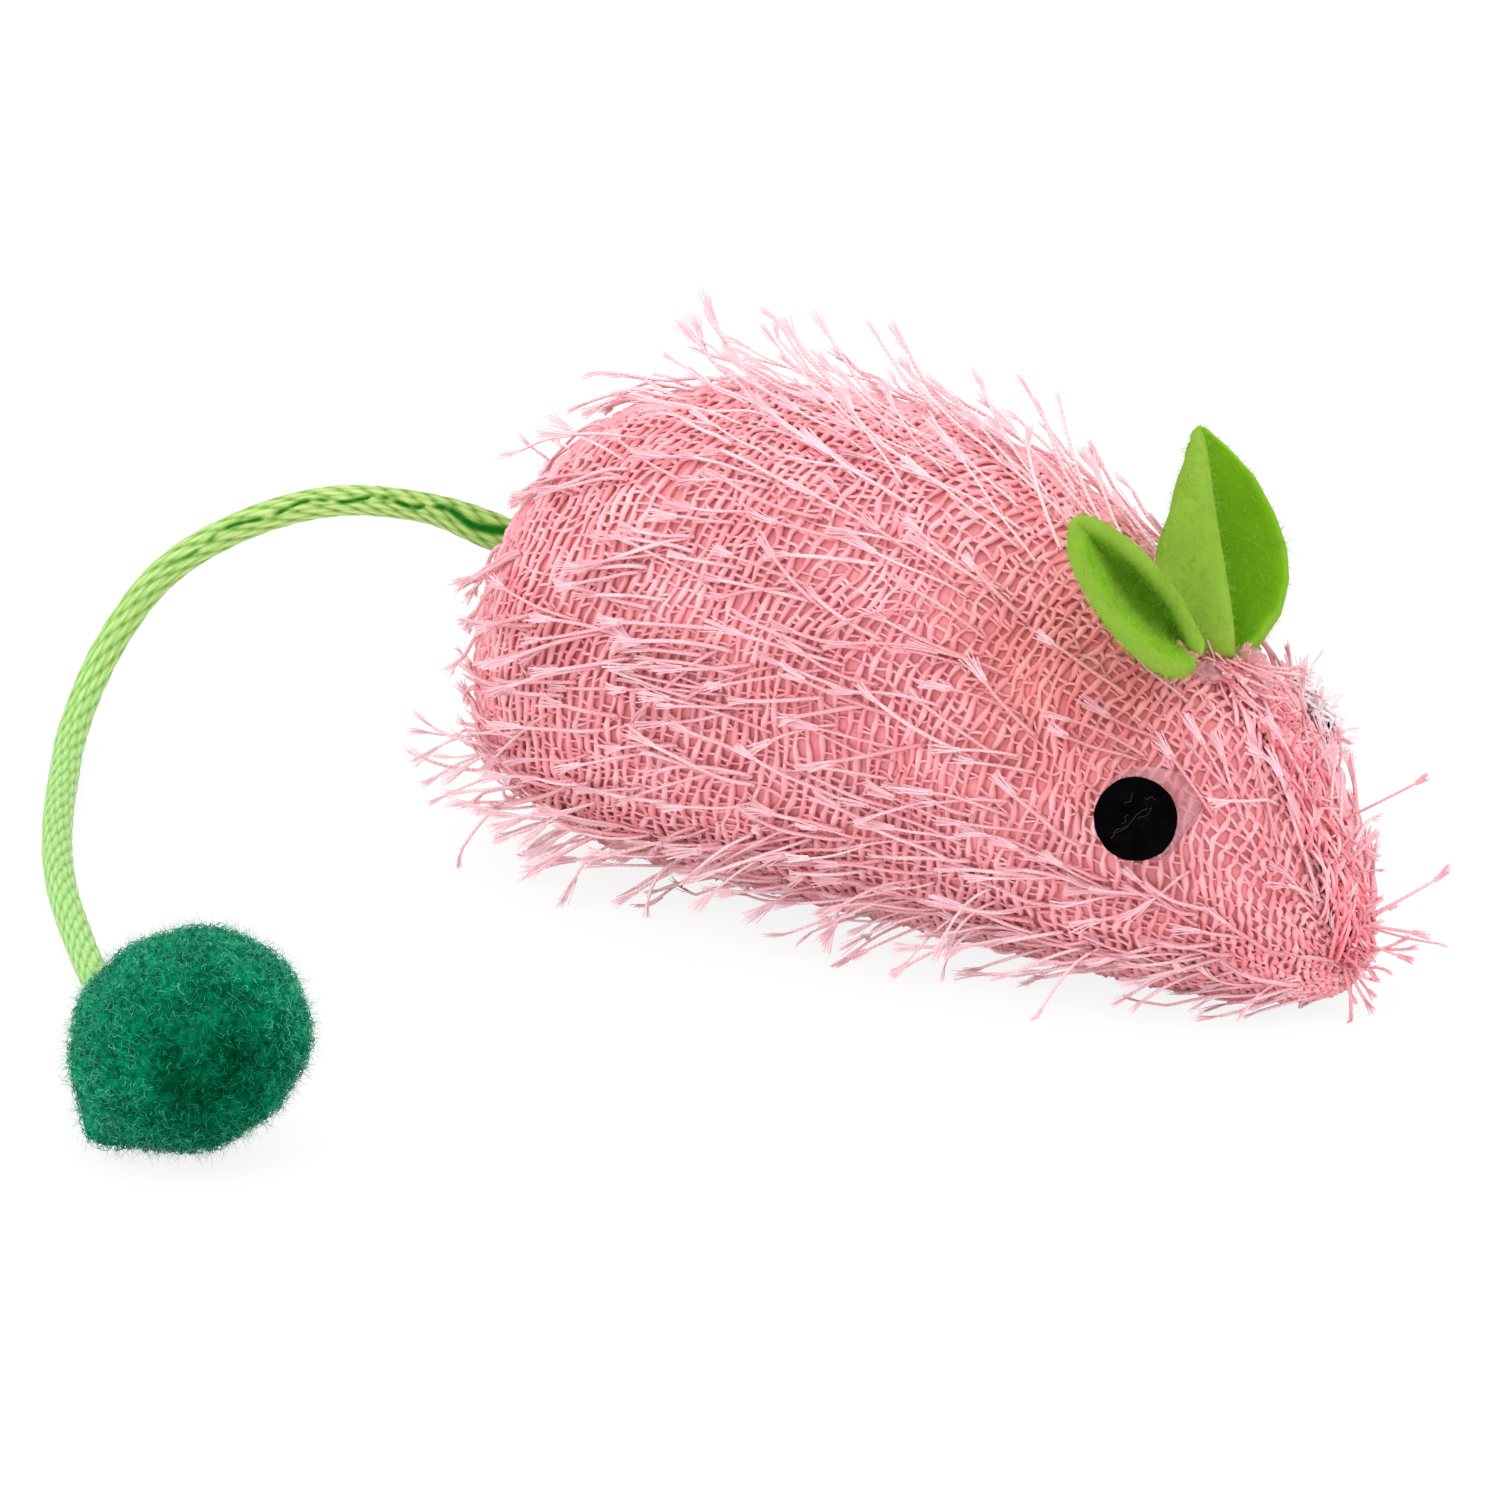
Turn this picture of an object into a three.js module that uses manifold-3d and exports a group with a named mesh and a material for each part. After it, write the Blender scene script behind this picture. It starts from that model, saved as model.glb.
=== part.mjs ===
// Catnip mouse: a stuffed mouse in open pink net knit, with felt ears, felt disc eyes,
// a satin cord tail and a fuzzy pom-pom on its end.
// Millimetres. +X is the nose, +Y the mouse's left, +Z up.
// The origin is the middle of the belly, on the surface that the mouse rests on.
import * as THREE from 'three';
import * as BufferGeometryUtils from 'three/addons/utils/BufferGeometryUtils.js';
import Module from 'manifold-3d';

const wasm = await Module();
wasm.setup();

// Body
const BODY_LENGTH = 81;
const BODY_HALF_WIDTH = 18.8;
const BODY_HEIGHT = 40;
const KNIT_THICKNESS = 1.0;
const CLOTH_THICKNESS = 0.6;
const LAYER_GAP = 0.4;
const GAP = 0.3;
const OVERRUN = 2;
const BODY_RINGS = 22;
const BODY_SIDES = 24;
const ROUND_SIDES = 16;
const MERGE_DISTANCE = 1e-5;
const NORMAL_STEP = 1e-3;

// The body's sections go from rump to nose. A turn of 0 is the rump's pole and 1 the nose's tip.
// The belly's shares are below zero where it is cut flat.
const TURN_SHARES = [0, 0.09, 0.16, 0.245, 0.34, 0.435, 0.53, 0.63, 0.705, 0.795, 0.89, 0.95, 1];
const WIDTH_SHARES = [0, 0.5, 0.73, 0.92, 1, 0.97, 0.9, 0.79, 0.69, 0.527, 0.315, 0.16, 0];
const TOP_SHARES = [0.47, 0.63, 0.77, 0.905, 0.972, 1, 0.97, 0.845, 0.725, 0.568, 0.335, 0.19, 0.085];
const BELLY_SHARES = [
  0.47, 0.15, 0.06, 0.006, -0.0125, -0.0125, -0.0125, -0.0125, -0.0125, 0, 0.026, 0.05, 0.085];
const WAIST_SHARE = 0.45;
const UPPER_ROUNDNESS = 2.1;
const LOWER_ROUNDNESS = 2.2;

// Filling
const CATNIP_LENGTH = 22;
const CATNIP_WIDTH = 13;
const CATNIP_PLACE_SHARE = 0.42;

// Nose seam, over the forehead's middle
const SEAM_WIDTH = 1.5;
const SEAM_THICKNESS = 0.8;
const SEAM_START_SHARE = 0.765;
const SEAM_END_SHARE = 0.972;
const SEAM_STEPS = 14;

// Eyes
const EYE_RADIUS = 3.35;
const EYE_THICKNESS = 0.8;
const EYE_EDGE = 0.25;
const EYE_SIDES = 24;
const EYE_PLACE_SHARES = { right: 0.742, left: 0.728 };
const EYE_RAISE_SHARE = 0.23;
const GLUE_RADIUS = 2.9;
const GLUE_THICKNESS = 0.35;
const GLUE_SHIFT = 1.1;

// Ears: a felt leaf, folded lengthwise. Its sections go from foot to tip, across the fold:
// the outer flap's edge, the fold and the inner flap's edge. They are stuck on by hand, so
// the right one leans further out.
const EAR_LENGTH = 17.6;
const EAR_WIDTH = 9.8;
const FELT_THICKNESS = 1.5;
const EAR_FOLD_RADIUS = 1.0;
const EAR_PLACE_SHARE = 0.738;
const EAR_SPREADS = { right: 1.7, left: 2.9 };
const EAR_FOOT_RADIUS = 1.9;
const EAR_FOOT_LENGTH = 2;
const EAR_DIRECTION_SHARES = { right: [-0.22, -0.58, 0.78], left: [-0.47, 0.42, 0.77] };
const EAR_OPENING_SHARES = { right: [0.8, -0.6, 0.06], left: [0.8, 0.6, 0.06] };
const EAR_HEIGHT_SHARES = [0, 0.1, 0.22, 0.36, 0.5, 0.64, 0.78, 0.9, 0.98];
const FOLD_REACH_SHARES = [-0.13, -0.27, -0.4, -0.47, -0.44, -0.34, -0.23, -0.14, -0.06];
const OUTER_REACH_SHARES = [0.09, 0.3, 0.46, 0.53, 0.535, 0.48, 0.38, 0.23, 0.09];
const OUTER_SPREAD_SHARES = [-0.08, -0.2, -0.34, -0.41, -0.42, -0.37, -0.28, -0.17, -0.06];
const INNER_REACH_SHARES = [0.05, 0.07, 0.07, 0.06, 0.05, 0.04, 0.03, 0.02, 0.02];
const INNER_SPREAD_SHARES = [0.08, 0.14, 0.19, 0.2, 0.2, 0.19, 0.17, 0.12, 0.06];
const EAR_ACROSS = 8;
const EAR_ALONG = 11;
const EAR_GLUE_RADIUS = 2.6;
const EAR_GLUE_EDGE = 0.8;
const EAR_GLUE_HEIGHT = 2;

// Tail cord: straight out of the rump, down under its own weight, then along the surface.
const CORD_DIAMETER = 2.5;
const CORD_SIDES = 8;
const CORD_EXIT_HEIGHT = 21.2;
const KNOT_RADIUS = 3.2;
const KNOT_DEPTH = 8;
const KNOT_RINGS = 6;
const ROOT_STEPS = 5;
const CORD_STEPS = 44;
const ROOT_ROUTE = [
  [-41.2, 0, 21.2], [-43.9, 0.1, 21.3], [-46.6, 0.5, 21.4], [-49.4, 1.1, 21.35], [-52.3, 1.7, 21.1]];
const CORD_ROUTE = [
  [-52.3, 1.7, 21.1], [-56.6, 2.4, 20.4], [-60.7, 2.6, 19.6], [-64.4, 2.2, 18.5], [-68, 1.3, 17],
  [-71.2, 0, 15.2], [-74, -1.8, 13.1], [-75.9, -3.7, 10.8], [-77, -5.8, 8.2], [-77.2, -8.6, 5.7],
  [-76.5, -11.8, 3.5], [-74.3, -16.5, 1.9], [-70.4, -22.5, 1.3], [-65.2, -30, 1.25], [-60, -36.8, 1.25],
  [-54.7, -42.9, 1.25], [-48.4, -49.3, 1.25], [-42.9, -54.6, 1.25], [-37, -59.8, 1.3], [-31.6, -64.4, 1.8],
  [-27.2, -68, 3.2], [-23.6, -70.9, 5]];

// Pom-pom
const POMPOM_LENGTH = 19.4;
const POMPOM_WIDTH = 18.8;
const POMPOM_HEIGHT = 18.2;
const POMPOM_CUT = 0.5;
const POMPOM_BUMP = 0.5;
const POMPOM_BUMPS = 3;
const POMPOM_SIDES = 24;
const POMPOM_RINGS = 14;
const END_KNOT_RADIUS = 2.2;
const END_KNOT_DEPTH = 5;
const END_GLUE_LENGTH = 1.2;
const END_GLUE_WALL = 0.9;

const CORD_RADIUS = CORD_DIAMETER / 2;
const HOLE_RADIUS = CORD_RADIUS + GAP;
const QUARTER_TURN = Math.PI / 2;

// A smooth curve through a table of shares that never overshoots them.
function smoothTable(places, values) {
  const last = places.length - 1;
  const rise = (i) => (values[i + 1] - values[i]) / (places[i + 1] - places[i]);
  const slopes = values.map((_, i) => {
    if (i === 0) return rise(0);
    if (i === last) return rise(last - 1);
    const before = rise(i - 1);
    const after = rise(i);
    return before * after <= 0 ? 0 : (2 * before * after) / (before + after);
  });
  return (at) => {
    let i = 0;
    while (i < last - 1 && at > places[i + 1]) i += 1;
    const step = places[i + 1] - places[i];
    const t = Math.min(Math.max((at - places[i]) / step, 0), 1);
    const stay = 1 - t;
    return values[i] * (1 + 2 * t) * stay * stay + values[i + 1] * (3 - 2 * t) * t * t
      + step * t * stay * (slopes[i] * stay - slopes[i + 1] * t);
  };
}

const widthAt = smoothTable(TURN_SHARES, WIDTH_SHARES);
const topAt = smoothTable(TURN_SHARES, TOP_SHARES);
const bellyAt = smoothTable(TURN_SHARES, BELLY_SHARES);

const power = (value, roundness) => Math.sign(value) * Math.abs(value) ** (2 / roundness);

// A point of the body's skin, or of a layer that lies inset under it.
function bodyPoint(turn, angle, inset = 0) {
  const across = Math.cos(angle);
  const up = Math.sin(angle);
  const top = topAt(turn) * BODY_HEIGHT;
  const belly = bellyAt(turn) * BODY_HEIGHT;
  const waist = belly + WAIST_SHARE * (top - belly);
  const roundness = up >= 0 ? UPPER_ROUNDNESS : LOWER_ROUNDNESS;
  const height = waist + (up >= 0 ? top - waist : waist - belly) * power(up, roundness);
  const middle = BODY_HEIGHT / 2;
  return new THREE.Vector3(
    -Math.cos(Math.PI * turn) * (BODY_LENGTH / 2 - inset),
    widthAt(turn) * power(across, roundness) * (BODY_HALF_WIDTH - inset),
    middle + (Math.max(height, 0) - middle) * (1 - inset / middle),
  );
}

function bodyNormal(turn, angle) {
  const at = bodyPoint(turn, angle);
  const along = bodyPoint(turn + NORMAL_STEP, angle).sub(at);
  const around = bodyPoint(turn, angle + NORMAL_STEP).sub(at);
  return around.cross(along).normalize();
}

function geometryFrom(points, faces) {
  const geometry = new THREE.BufferGeometry();
  const places = points.flatMap((p) => [p.x, p.y, p.z]);
  geometry.setAttribute('position', new THREE.Float32BufferAttribute(places, 3));
  geometry.setIndex(faces);
  return geometry;
}

function bodyGeometry(inset) {
  const points = [bodyPoint(0, 0, inset)];
  for (let ring = 1; ring < BODY_RINGS; ring += 1) {
    for (let side = 0; side < BODY_SIDES; side += 1) {
      points.push(bodyPoint(ring / BODY_RINGS, (2 * Math.PI * side) / BODY_SIDES, inset));
    }
  }
  points.push(bodyPoint(1, 0, inset));
  const faces = [];
  const at = (ring, side) => 1 + (ring - 1) * BODY_SIDES + (side % BODY_SIDES);
  for (let side = 0; side < BODY_SIDES; side += 1) {
    faces.push(0, at(1, side + 1), at(1, side));
    faces.push(points.length - 1, at(BODY_RINGS - 1, side), at(BODY_RINGS - 1, side + 1));
    for (let ring = 1; ring < BODY_RINGS - 1; ring += 1) {
      faces.push(at(ring, side), at(ring, side + 1), at(ring + 1, side + 1));
      faces.push(at(ring, side), at(ring + 1, side + 1), at(ring + 1, side));
    }
  }
  return geometryFrom(points, faces);
}

// Solids for joining and cutting
function solidOf(geometry) {
  const bare = geometry.clone();
  bare.deleteAttribute('normal');
  bare.deleteAttribute('uv');
  const merged = BufferGeometryUtils.mergeVertices(bare, MERGE_DISTANCE);
  return new wasm.Manifold(new wasm.Mesh({
    numProp: 3,
    vertProperties: new Float32Array(merged.attributes.position.array),
    triVerts: new Uint32Array(merged.index.array),
  }));
}

function geometryOf(solid) {
  const mesh = solid.getMesh();
  const geometry = new THREE.BufferGeometry();
  geometry.setAttribute('position', new THREE.BufferAttribute(new Float32Array(mesh.vertProperties), 3));
  geometry.setIndex(new THREE.BufferAttribute(new Uint32Array(mesh.triVerts), 1));
  return geometry;
}

function placed(geometry, matrix) {
  return solidOf(geometry.clone().applyMatrix4(matrix));
}

// The frame at a point whose +Y runs along a direction, as a lathe's axis does.
function frameAlong(origin, direction) {
  const turn = new THREE.Quaternion();
  turn.setFromUnitVectors(new THREE.Vector3(0, 1, 0), direction.clone().normalize());
  return new THREE.Matrix4().compose(origin, turn, new THREE.Vector3(1, 1, 1));
}

const bodySolid = (inset) => solidOf(bodyGeometry(inset));

// Layers of the body, from the outside in
const CLOTH_INSET = KNIT_THICKNESS + LAYER_GAP;
const STUFFING_INSET = CLOTH_INSET + CLOTH_THICKNESS + LAYER_GAP;

// Where the skin's middle line reaches a height on the rump
function rumpTurnAt(height) {
  let low = 0;
  let high = TURN_SHARES[TOP_SHARES.indexOf(1)];
  while (high - low > MERGE_DISTANCE) {
    const middle = (low + high) / 2;
    if (bodyPoint(middle, QUARTER_TURN).z < height) low = middle;
    else high = middle;
  }
  return low;
}

const tailExit = new THREE.Vector3(...ROOT_ROUTE[0]);
const tailExitSkin = bodyPoint(rumpTurnAt(CORD_EXIT_HEIGHT), QUARTER_TURN);
const knotCentre = new THREE.Vector3(tailExitSkin.x + KNOT_DEPTH, 0, CORD_EXIT_HEIGHT);
const catnipPlace = -Math.cos(Math.PI * CATNIP_PLACE_SHARE) * (BODY_LENGTH / 2);
const catnipCentre = new THREE.Vector3(catnipPlace, 0, CORD_EXIT_HEIGHT);

function alongX(radius, from, to) {
  const geometry = new THREE.CylinderGeometry(radius, radius, to - from, ROUND_SIDES);
  const middle = new THREE.Vector3((from + to) / 2, 0, CORD_EXIT_HEIGHT);
  return placed(geometry, frameAlong(middle, new THREE.Vector3(1, 0, 0)));
}

function ball(radius, centre, sides = ROUND_SIDES) {
  const geometry = new THREE.SphereGeometry(radius, sides, sides / 2);
  return placed(geometry, new THREE.Matrix4().makeTranslation(centre.x, centre.y, centre.z));
}

function catnip(grow) {
  const halfWidth = CATNIP_WIDTH / 2 + grow;
  const size = new THREE.Vector3(CATNIP_LENGTH / 2 + grow, halfWidth, halfWidth);
  const matrix = new THREE.Matrix4().compose(catnipCentre, new THREE.Quaternion(), size);
  return placed(new THREE.SphereGeometry(1, ROUND_SIDES, ROUND_SIDES / 2), matrix);
}

// A knot with a stub of cord on it, along a lathe's axis: the stub points to +Y and ends at reach.
function knotGeometry(radius, reach) {
  const profile = [new THREE.Vector2(0, -radius)];
  const end = Math.PI - Math.asin(CORD_RADIUS / radius);
  for (let i = 1; i <= KNOT_RINGS; i += 1) {
    const angle = (end * i) / KNOT_RINGS;
    profile.push(new THREE.Vector2(radius * Math.sin(angle), -radius * Math.cos(angle)));
  }
  profile.push(new THREE.Vector2(CORD_RADIUS, reach));
  profile.push(new THREE.Vector2(0, reach));
  return new THREE.LatheGeometry(profile, ROUND_SIDES);
}

const tailHole = alongX(HOLE_RADIUS, tailExitSkin.x - OVERRUN, knotCentre.x);
const fillingHole = alongX(HOLE_RADIUS, knotCentre.x, catnipCentre.x);
const knotRoom = ball(KNOT_RADIUS + GAP, knotCentre).add(fillingHole);

const bodyShell = (inset, thickness) => (
  bodySolid(inset).subtract(bodySolid(inset + thickness)).subtract(tailHole));
const knitCover = bodyShell(0, KNIT_THICKNESS);
const backingCloth = bodyShell(CLOTH_INSET, CLOTH_THICKNESS);
const stuffing = bodySolid(STUFFING_INSET).subtract(tailHole).subtract(knotRoom).subtract(catnip(GAP));
const skinWithGap = bodySolid(-LAYER_GAP);

// A sheet of even thickness about a grid of points, closed along its edges
function sheetGeometry(grid, thickness) {
  const rows = grid.length;
  const columns = grid[0].length;
  const held = (value, count) => Math.min(Math.max(value, 0), count - 1);
  const near = (row, column) => grid[held(row, rows)][held(column, columns)].clone();
  const points = [];
  for (const side of [0.5, -0.5]) {
    for (let row = 0; row < rows; row += 1) {
      for (let column = 0; column < columns; column += 1) {
        const along = near(row + 1, column).sub(near(row - 1, column));
        const across = near(row, column + 1).sub(near(row, column - 1));
        const normal = along.cross(across).normalize();
        points.push(near(row, column).addScaledVector(normal, side * thickness));
      }
    }
  }
  const faces = [];
  const at = (layer, row, column) => (layer * rows + row) * columns + column;
  const quad = (a, b, c, d) => faces.push(a, b, c, a, c, d);
  const endRow = rows - 1;
  const endColumn = columns - 1;
  for (let row = 0; row < endRow; row += 1) {
    for (let column = 0; column < endColumn; column += 1) {
      quad(at(0, row, column), at(0, row + 1, column), at(0, row + 1, column + 1), at(0, row, column + 1));
      quad(at(1, row, column), at(1, row, column + 1), at(1, row + 1, column + 1), at(1, row + 1, column));
    }
    quad(at(0, row, 0), at(1, row, 0), at(1, row + 1, 0), at(0, row + 1, 0));
    quad(at(0, row, endColumn), at(0, row + 1, endColumn), at(1, row + 1, endColumn), at(1, row, endColumn));
  }
  for (let column = 0; column < endColumn; column += 1) {
    quad(at(0, 0, column), at(0, 0, column + 1), at(1, 0, column + 1), at(1, 0, column));
    quad(at(0, endRow, column), at(1, endRow, column), at(1, endRow, column + 1), at(0, endRow, column + 1));
  }
  return geometryFrom(points, faces);
}

// The seam follows the skin's middle line over the forehead.
function seamGeometry() {
  const grid = [];
  const stand = LAYER_GAP + SEAM_THICKNESS / 2;
  for (let i = 0; i <= SEAM_STEPS; i += 1) {
    const turn = THREE.MathUtils.lerp(SEAM_START_SHARE, SEAM_END_SHARE, i / SEAM_STEPS);
    const middle = bodyPoint(turn, QUARTER_TURN).addScaledVector(bodyNormal(turn, QUARTER_TURN), stand);
    grid.push([-0.5, 0.5].map((side) => middle.clone().setY(side * SEAM_WIDTH)));
  }
  return sheetGeometry(grid, SEAM_THICKNESS);
}

// Eyes
function eyeGeometry() {
  const flat = EYE_RADIUS - EYE_EDGE;
  return new THREE.LatheGeometry([
    new THREE.Vector2(0, 0),
    new THREE.Vector2(flat, 0),
    new THREE.Vector2(EYE_RADIUS, EYE_EDGE),
    new THREE.Vector2(EYE_RADIUS, EYE_THICKNESS - EYE_EDGE),
    new THREE.Vector2(flat, EYE_THICKNESS),
    new THREE.Vector2(0, EYE_THICKNESS),
  ], EYE_SIDES);
}

function eyeFrame(side) {
  const raise = EYE_RAISE_SHARE * QUARTER_TURN;
  const angle = side === 'right' ? Math.PI - raise : raise;
  const normal = bodyNormal(EYE_PLACE_SHARES[side], angle);
  const skin = bodyPoint(EYE_PLACE_SHARES[side], angle);
  return { normal, seat: skin.addScaledVector(normal, LAYER_GAP + GLUE_THICKNESS + GAP) };
}

function eyeGlue(side) {
  const { normal, seat } = eyeFrame(side);
  const uphill = new THREE.Vector3(1, 0, 1).projectOnPlane(normal).normalize();
  const depth = GLUE_THICKNESS + OVERRUN;
  const middle = seat.clone().addScaledVector(normal, -GAP - depth / 2).addScaledVector(uphill, GLUE_SHIFT);
  const disc = new THREE.CylinderGeometry(GLUE_RADIUS, GLUE_RADIUS, depth, ROUND_SIDES);
  return placed(disc, frameAlong(middle, normal)).subtract(skinWithGap);
}

// Ears
const earSeat = bodyPoint(EAR_PLACE_SHARE, QUARTER_TURN);

function earFrame(side) {
  const outward = side === 'right' ? -1 : 1;
  const foot = new THREE.Vector3(earSeat.x, outward * EAR_SPREADS[side], earSeat.z + EAR_FOOT_RADIUS);
  const direction = new THREE.Vector3(...EAR_DIRECTION_SHARES[side]).normalize();
  const opening = new THREE.Vector3(...EAR_OPENING_SHARES[side]).projectOnPlane(direction).normalize();
  const inward = opening.clone().cross(direction).multiplyScalar(outward);
  return { foot, direction, opening, inward };
}

const foldReach = smoothTable(EAR_HEIGHT_SHARES, FOLD_REACH_SHARES);
const outerReach = smoothTable(EAR_HEIGHT_SHARES, OUTER_REACH_SHARES);
const outerSpread = smoothTable(EAR_HEIGHT_SHARES, OUTER_SPREAD_SHARES);
const innerReach = smoothTable(EAR_HEIGHT_SHARES, INNER_REACH_SHARES);
const innerSpread = smoothTable(EAR_HEIGHT_SHARES, INNER_SPREAD_SHARES);

function earGeometry({ foot, direction, opening, inward }) {
  const grid = [];
  const first = EAR_HEIGHT_SHARES[0];
  const last = EAR_HEIGHT_SHARES[EAR_HEIGHT_SHARES.length - 1];
  for (let row = -1; row <= EAR_ALONG; row += 1) {
    const height = THREE.MathUtils.lerp(first, last, Math.max(row, 0) / EAR_ALONG);
    const fold = foldReach(height) * EAR_WIDTH;
    const across = new THREE.CatmullRomCurve3([
      new THREE.Vector3(outerReach(height) * EAR_WIDTH, outerSpread(height) * EAR_WIDTH, 0),
      new THREE.Vector3(fold + EAR_FOLD_RADIUS, -EAR_FOLD_RADIUS, 0),
      new THREE.Vector3(fold, 0, 0),
      new THREE.Vector3(fold + EAR_FOLD_RADIUS, EAR_FOLD_RADIUS, 0),
      new THREE.Vector3(innerReach(height) * EAR_WIDTH, innerSpread(height) * EAR_WIDTH, 0),
    ], false, 'centripetal');
    const rise = row < 0 ? -EAR_FOOT_LENGTH : height * EAR_LENGTH;
    grid.push(across.getPoints(EAR_ACROSS).map((p) => foot.clone()
      .addScaledVector(direction, rise)
      .addScaledVector(opening, p.x)
      .addScaledVector(inward, p.y)));
  }
  return sheetGeometry(grid, FELT_THICKNESS);
}

// The ear's foot is rounded about its hinge point, so that it can lean.
function earSolid(side) {
  const frame = earFrame(side);
  const reach = 2 * EAR_LENGTH;
  const above = frameAlong(frame.foot.clone().addScaledVector(frame.direction, reach / 2), frame.direction);
  const room = placed(new THREE.BoxGeometry(reach, reach, reach), above)
    .add(ball(EAR_FOOT_RADIUS - GAP, frame.foot));
  return solidOf(earGeometry(frame)).intersect(room).subtract(skinWithGap);
}

// The glue fills the hollow between the ears' feet and the skin.
function earGlue() {
  const middle = earSeat.clone().setY((EAR_SPREADS.left - EAR_SPREADS.right) / 2);
  const size = new THREE.Vector3(
    EAR_GLUE_RADIUS, (EAR_SPREADS.left + EAR_SPREADS.right) / 2 + EAR_GLUE_EDGE, EAR_GLUE_HEIGHT);
  const matrix = new THREE.Matrix4().compose(middle, new THREE.Quaternion(), size);
  const lump = placed(new THREE.SphereGeometry(1, ROUND_SIDES, ROUND_SIDES), matrix);
  return lump.subtract(skinWithGap)
    .subtract(ball(EAR_FOOT_RADIUS, earFrame('right').foot))
    .subtract(ball(EAR_FOOT_RADIUS, earFrame('left').foot));
}

// A length of cord along a route, rounded at the end that hinges on another piece
function cordSolid(route, steps, roundPoint) {
  const points = route.map((p) => new THREE.Vector3(...p));
  const curve = new THREE.CatmullRomCurve3(points, false, 'centripetal');
  const section = new THREE.Shape();
  for (let side = 0; side < CORD_SIDES; side += 1) {
    const angle = (2 * Math.PI * side) / CORD_SIDES;
    const x = CORD_RADIUS * Math.cos(angle);
    const y = CORD_RADIUS * Math.sin(angle);
    if (side === 0) section.moveTo(x, y);
    else section.lineTo(x, y);
  }
  section.closePath();
  const cord = solidOf(new THREE.ExtrudeGeometry(section, { steps, extrudePath: curve }));
  return cord.add(ball(CORD_RADIUS, points[roundPoint === 'start' ? 0 : points.length - 1]));
}

// The rest of the cord starts a gap after the first stretch ends.
function shortened(route) {
  const start = new THREE.Vector3(...route[0]);
  const next = new THREE.Vector3(...route[1]);
  const moved = start.clone().addScaledVector(next.sub(start).normalize(), GAP);
  return [moved.toArray(), ...route.slice(1)];
}

// Pom-pom, on the end of the cord
const cordEnd = new THREE.Vector3(...CORD_ROUTE[CORD_ROUTE.length - 1]);
const pompomHalf = new THREE.Vector3(POMPOM_LENGTH / 2, POMPOM_WIDTH / 2, POMPOM_HEIGHT / 2);
const pompomHeight = POMPOM_HEIGHT / 2 - POMPOM_CUT;
const pompomReach = (POMPOM_LENGTH + POMPOM_WIDTH) / 4 + CORD_RADIUS + GAP;

function pompomCentreFrom(end) {
  const before = new THREE.Vector3(...CORD_ROUTE[CORD_ROUTE.length - 4]);
  const heading = end.clone().sub(before).setZ(0).normalize();
  const drop = pompomHeight - end.z;
  const level = Math.sqrt(pompomReach * pompomReach - drop * drop);
  return new THREE.Vector3(end.x + heading.x * level, end.y + heading.y * level, pompomHeight);
}

const pompomCentre = pompomCentreFrom(cordEnd);
const pompomInward = pompomCentre.clone().sub(cordEnd).normalize();

function pompomGeometry() {
  const geometry = new THREE.SphereGeometry(1, POMPOM_SIDES, POMPOM_RINGS);
  geometry.rotateX(QUARTER_TURN);
  const place = geometry.attributes.position;
  for (let i = 0; i < place.count; i += 1) {
    const p = new THREE.Vector3().fromBufferAttribute(place, i);
    const bump = POMPOM_BUMP * Math.sin(POMPOM_BUMPS * (p.x + p.z)) * Math.cos(POMPOM_BUMPS * p.y);
    const reach = pompomHalf.clone().addScalar(bump);
    place.setXYZ(i, p.x * reach.x, p.y * reach.y, p.z * reach.z);
  }
  return geometry.translate(pompomCentre.x, pompomCentre.y, pompomCentre.z);
}

const onEntryLine = (distance) => cordEnd.clone().addScaledVector(pompomInward, distance);
const mouthDistance = CORD_RADIUS + GAP;
const endKnotCentre = onEntryLine(mouthDistance + END_KNOT_DEPTH);
const glueRadius = HOLE_RADIUS + END_GLUE_WALL;

function entryCylinder(radius, from, to) {
  const geometry = new THREE.CylinderGeometry(radius, radius, to - from, ROUND_SIDES);
  return placed(geometry, frameAlong(onEntryLine((from + to) / 2), pompomInward));
}

function pompomSolid() {
  const floorSize = 4 * POMPOM_LENGTH;
  const below = placed(new THREE.BoxGeometry(floorSize, floorSize, floorSize),
    new THREE.Matrix4().makeTranslation(pompomCentre.x, pompomCentre.y, -floorSize / 2));
  return solidOf(pompomGeometry())
    .subtract(below)
    .subtract(ball(END_KNOT_RADIUS + GAP, endKnotCentre))
    .subtract(entryCylinder(glueRadius + GAP, -OVERRUN, mouthDistance + END_KNOT_DEPTH));
}

function pompomGlue() {
  const from = mouthDistance;
  const to = from + END_GLUE_LENGTH;
  const bore = entryCylinder(HOLE_RADIUS, from - OVERRUN, to + OVERRUN);
  return entryCylinder(glueRadius, from, to).subtract(bore);
}

// Materials
const material = (color, roughness) => new THREE.MeshStandardMaterial({ color, roughness, metalness: 0 });
const pinkKnit = material(0xf5919a, 0.85);
const seamThread = material(0xf06a78, 0.8);
const duskyCloth = material(0xcd696e, 0.9);
const whiteFibre = material(0xf1eee6, 0.95);
const driedLeaf = material(0x6f7a3d, 0.95);
const blackFelt = material(0x0b0b0d, 0.9);
const clearGlue = material(0xcfc9cc, 0.35);
const limeFelt = material(0x78b432, 0.9);
const limeCord = material(0x9fd764, 0.45);
const darkYarn = material(0x1a7a5a, 0.95);

const mouse = new THREE.Group();
mouse.name = 'catnip_mouse';

function addPiece(name, geometry, finish) {
  const mesh = new THREE.Mesh(geometry, finish);
  mesh.name = name;
  mouse.add(mesh);
  return mesh;
}

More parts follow.
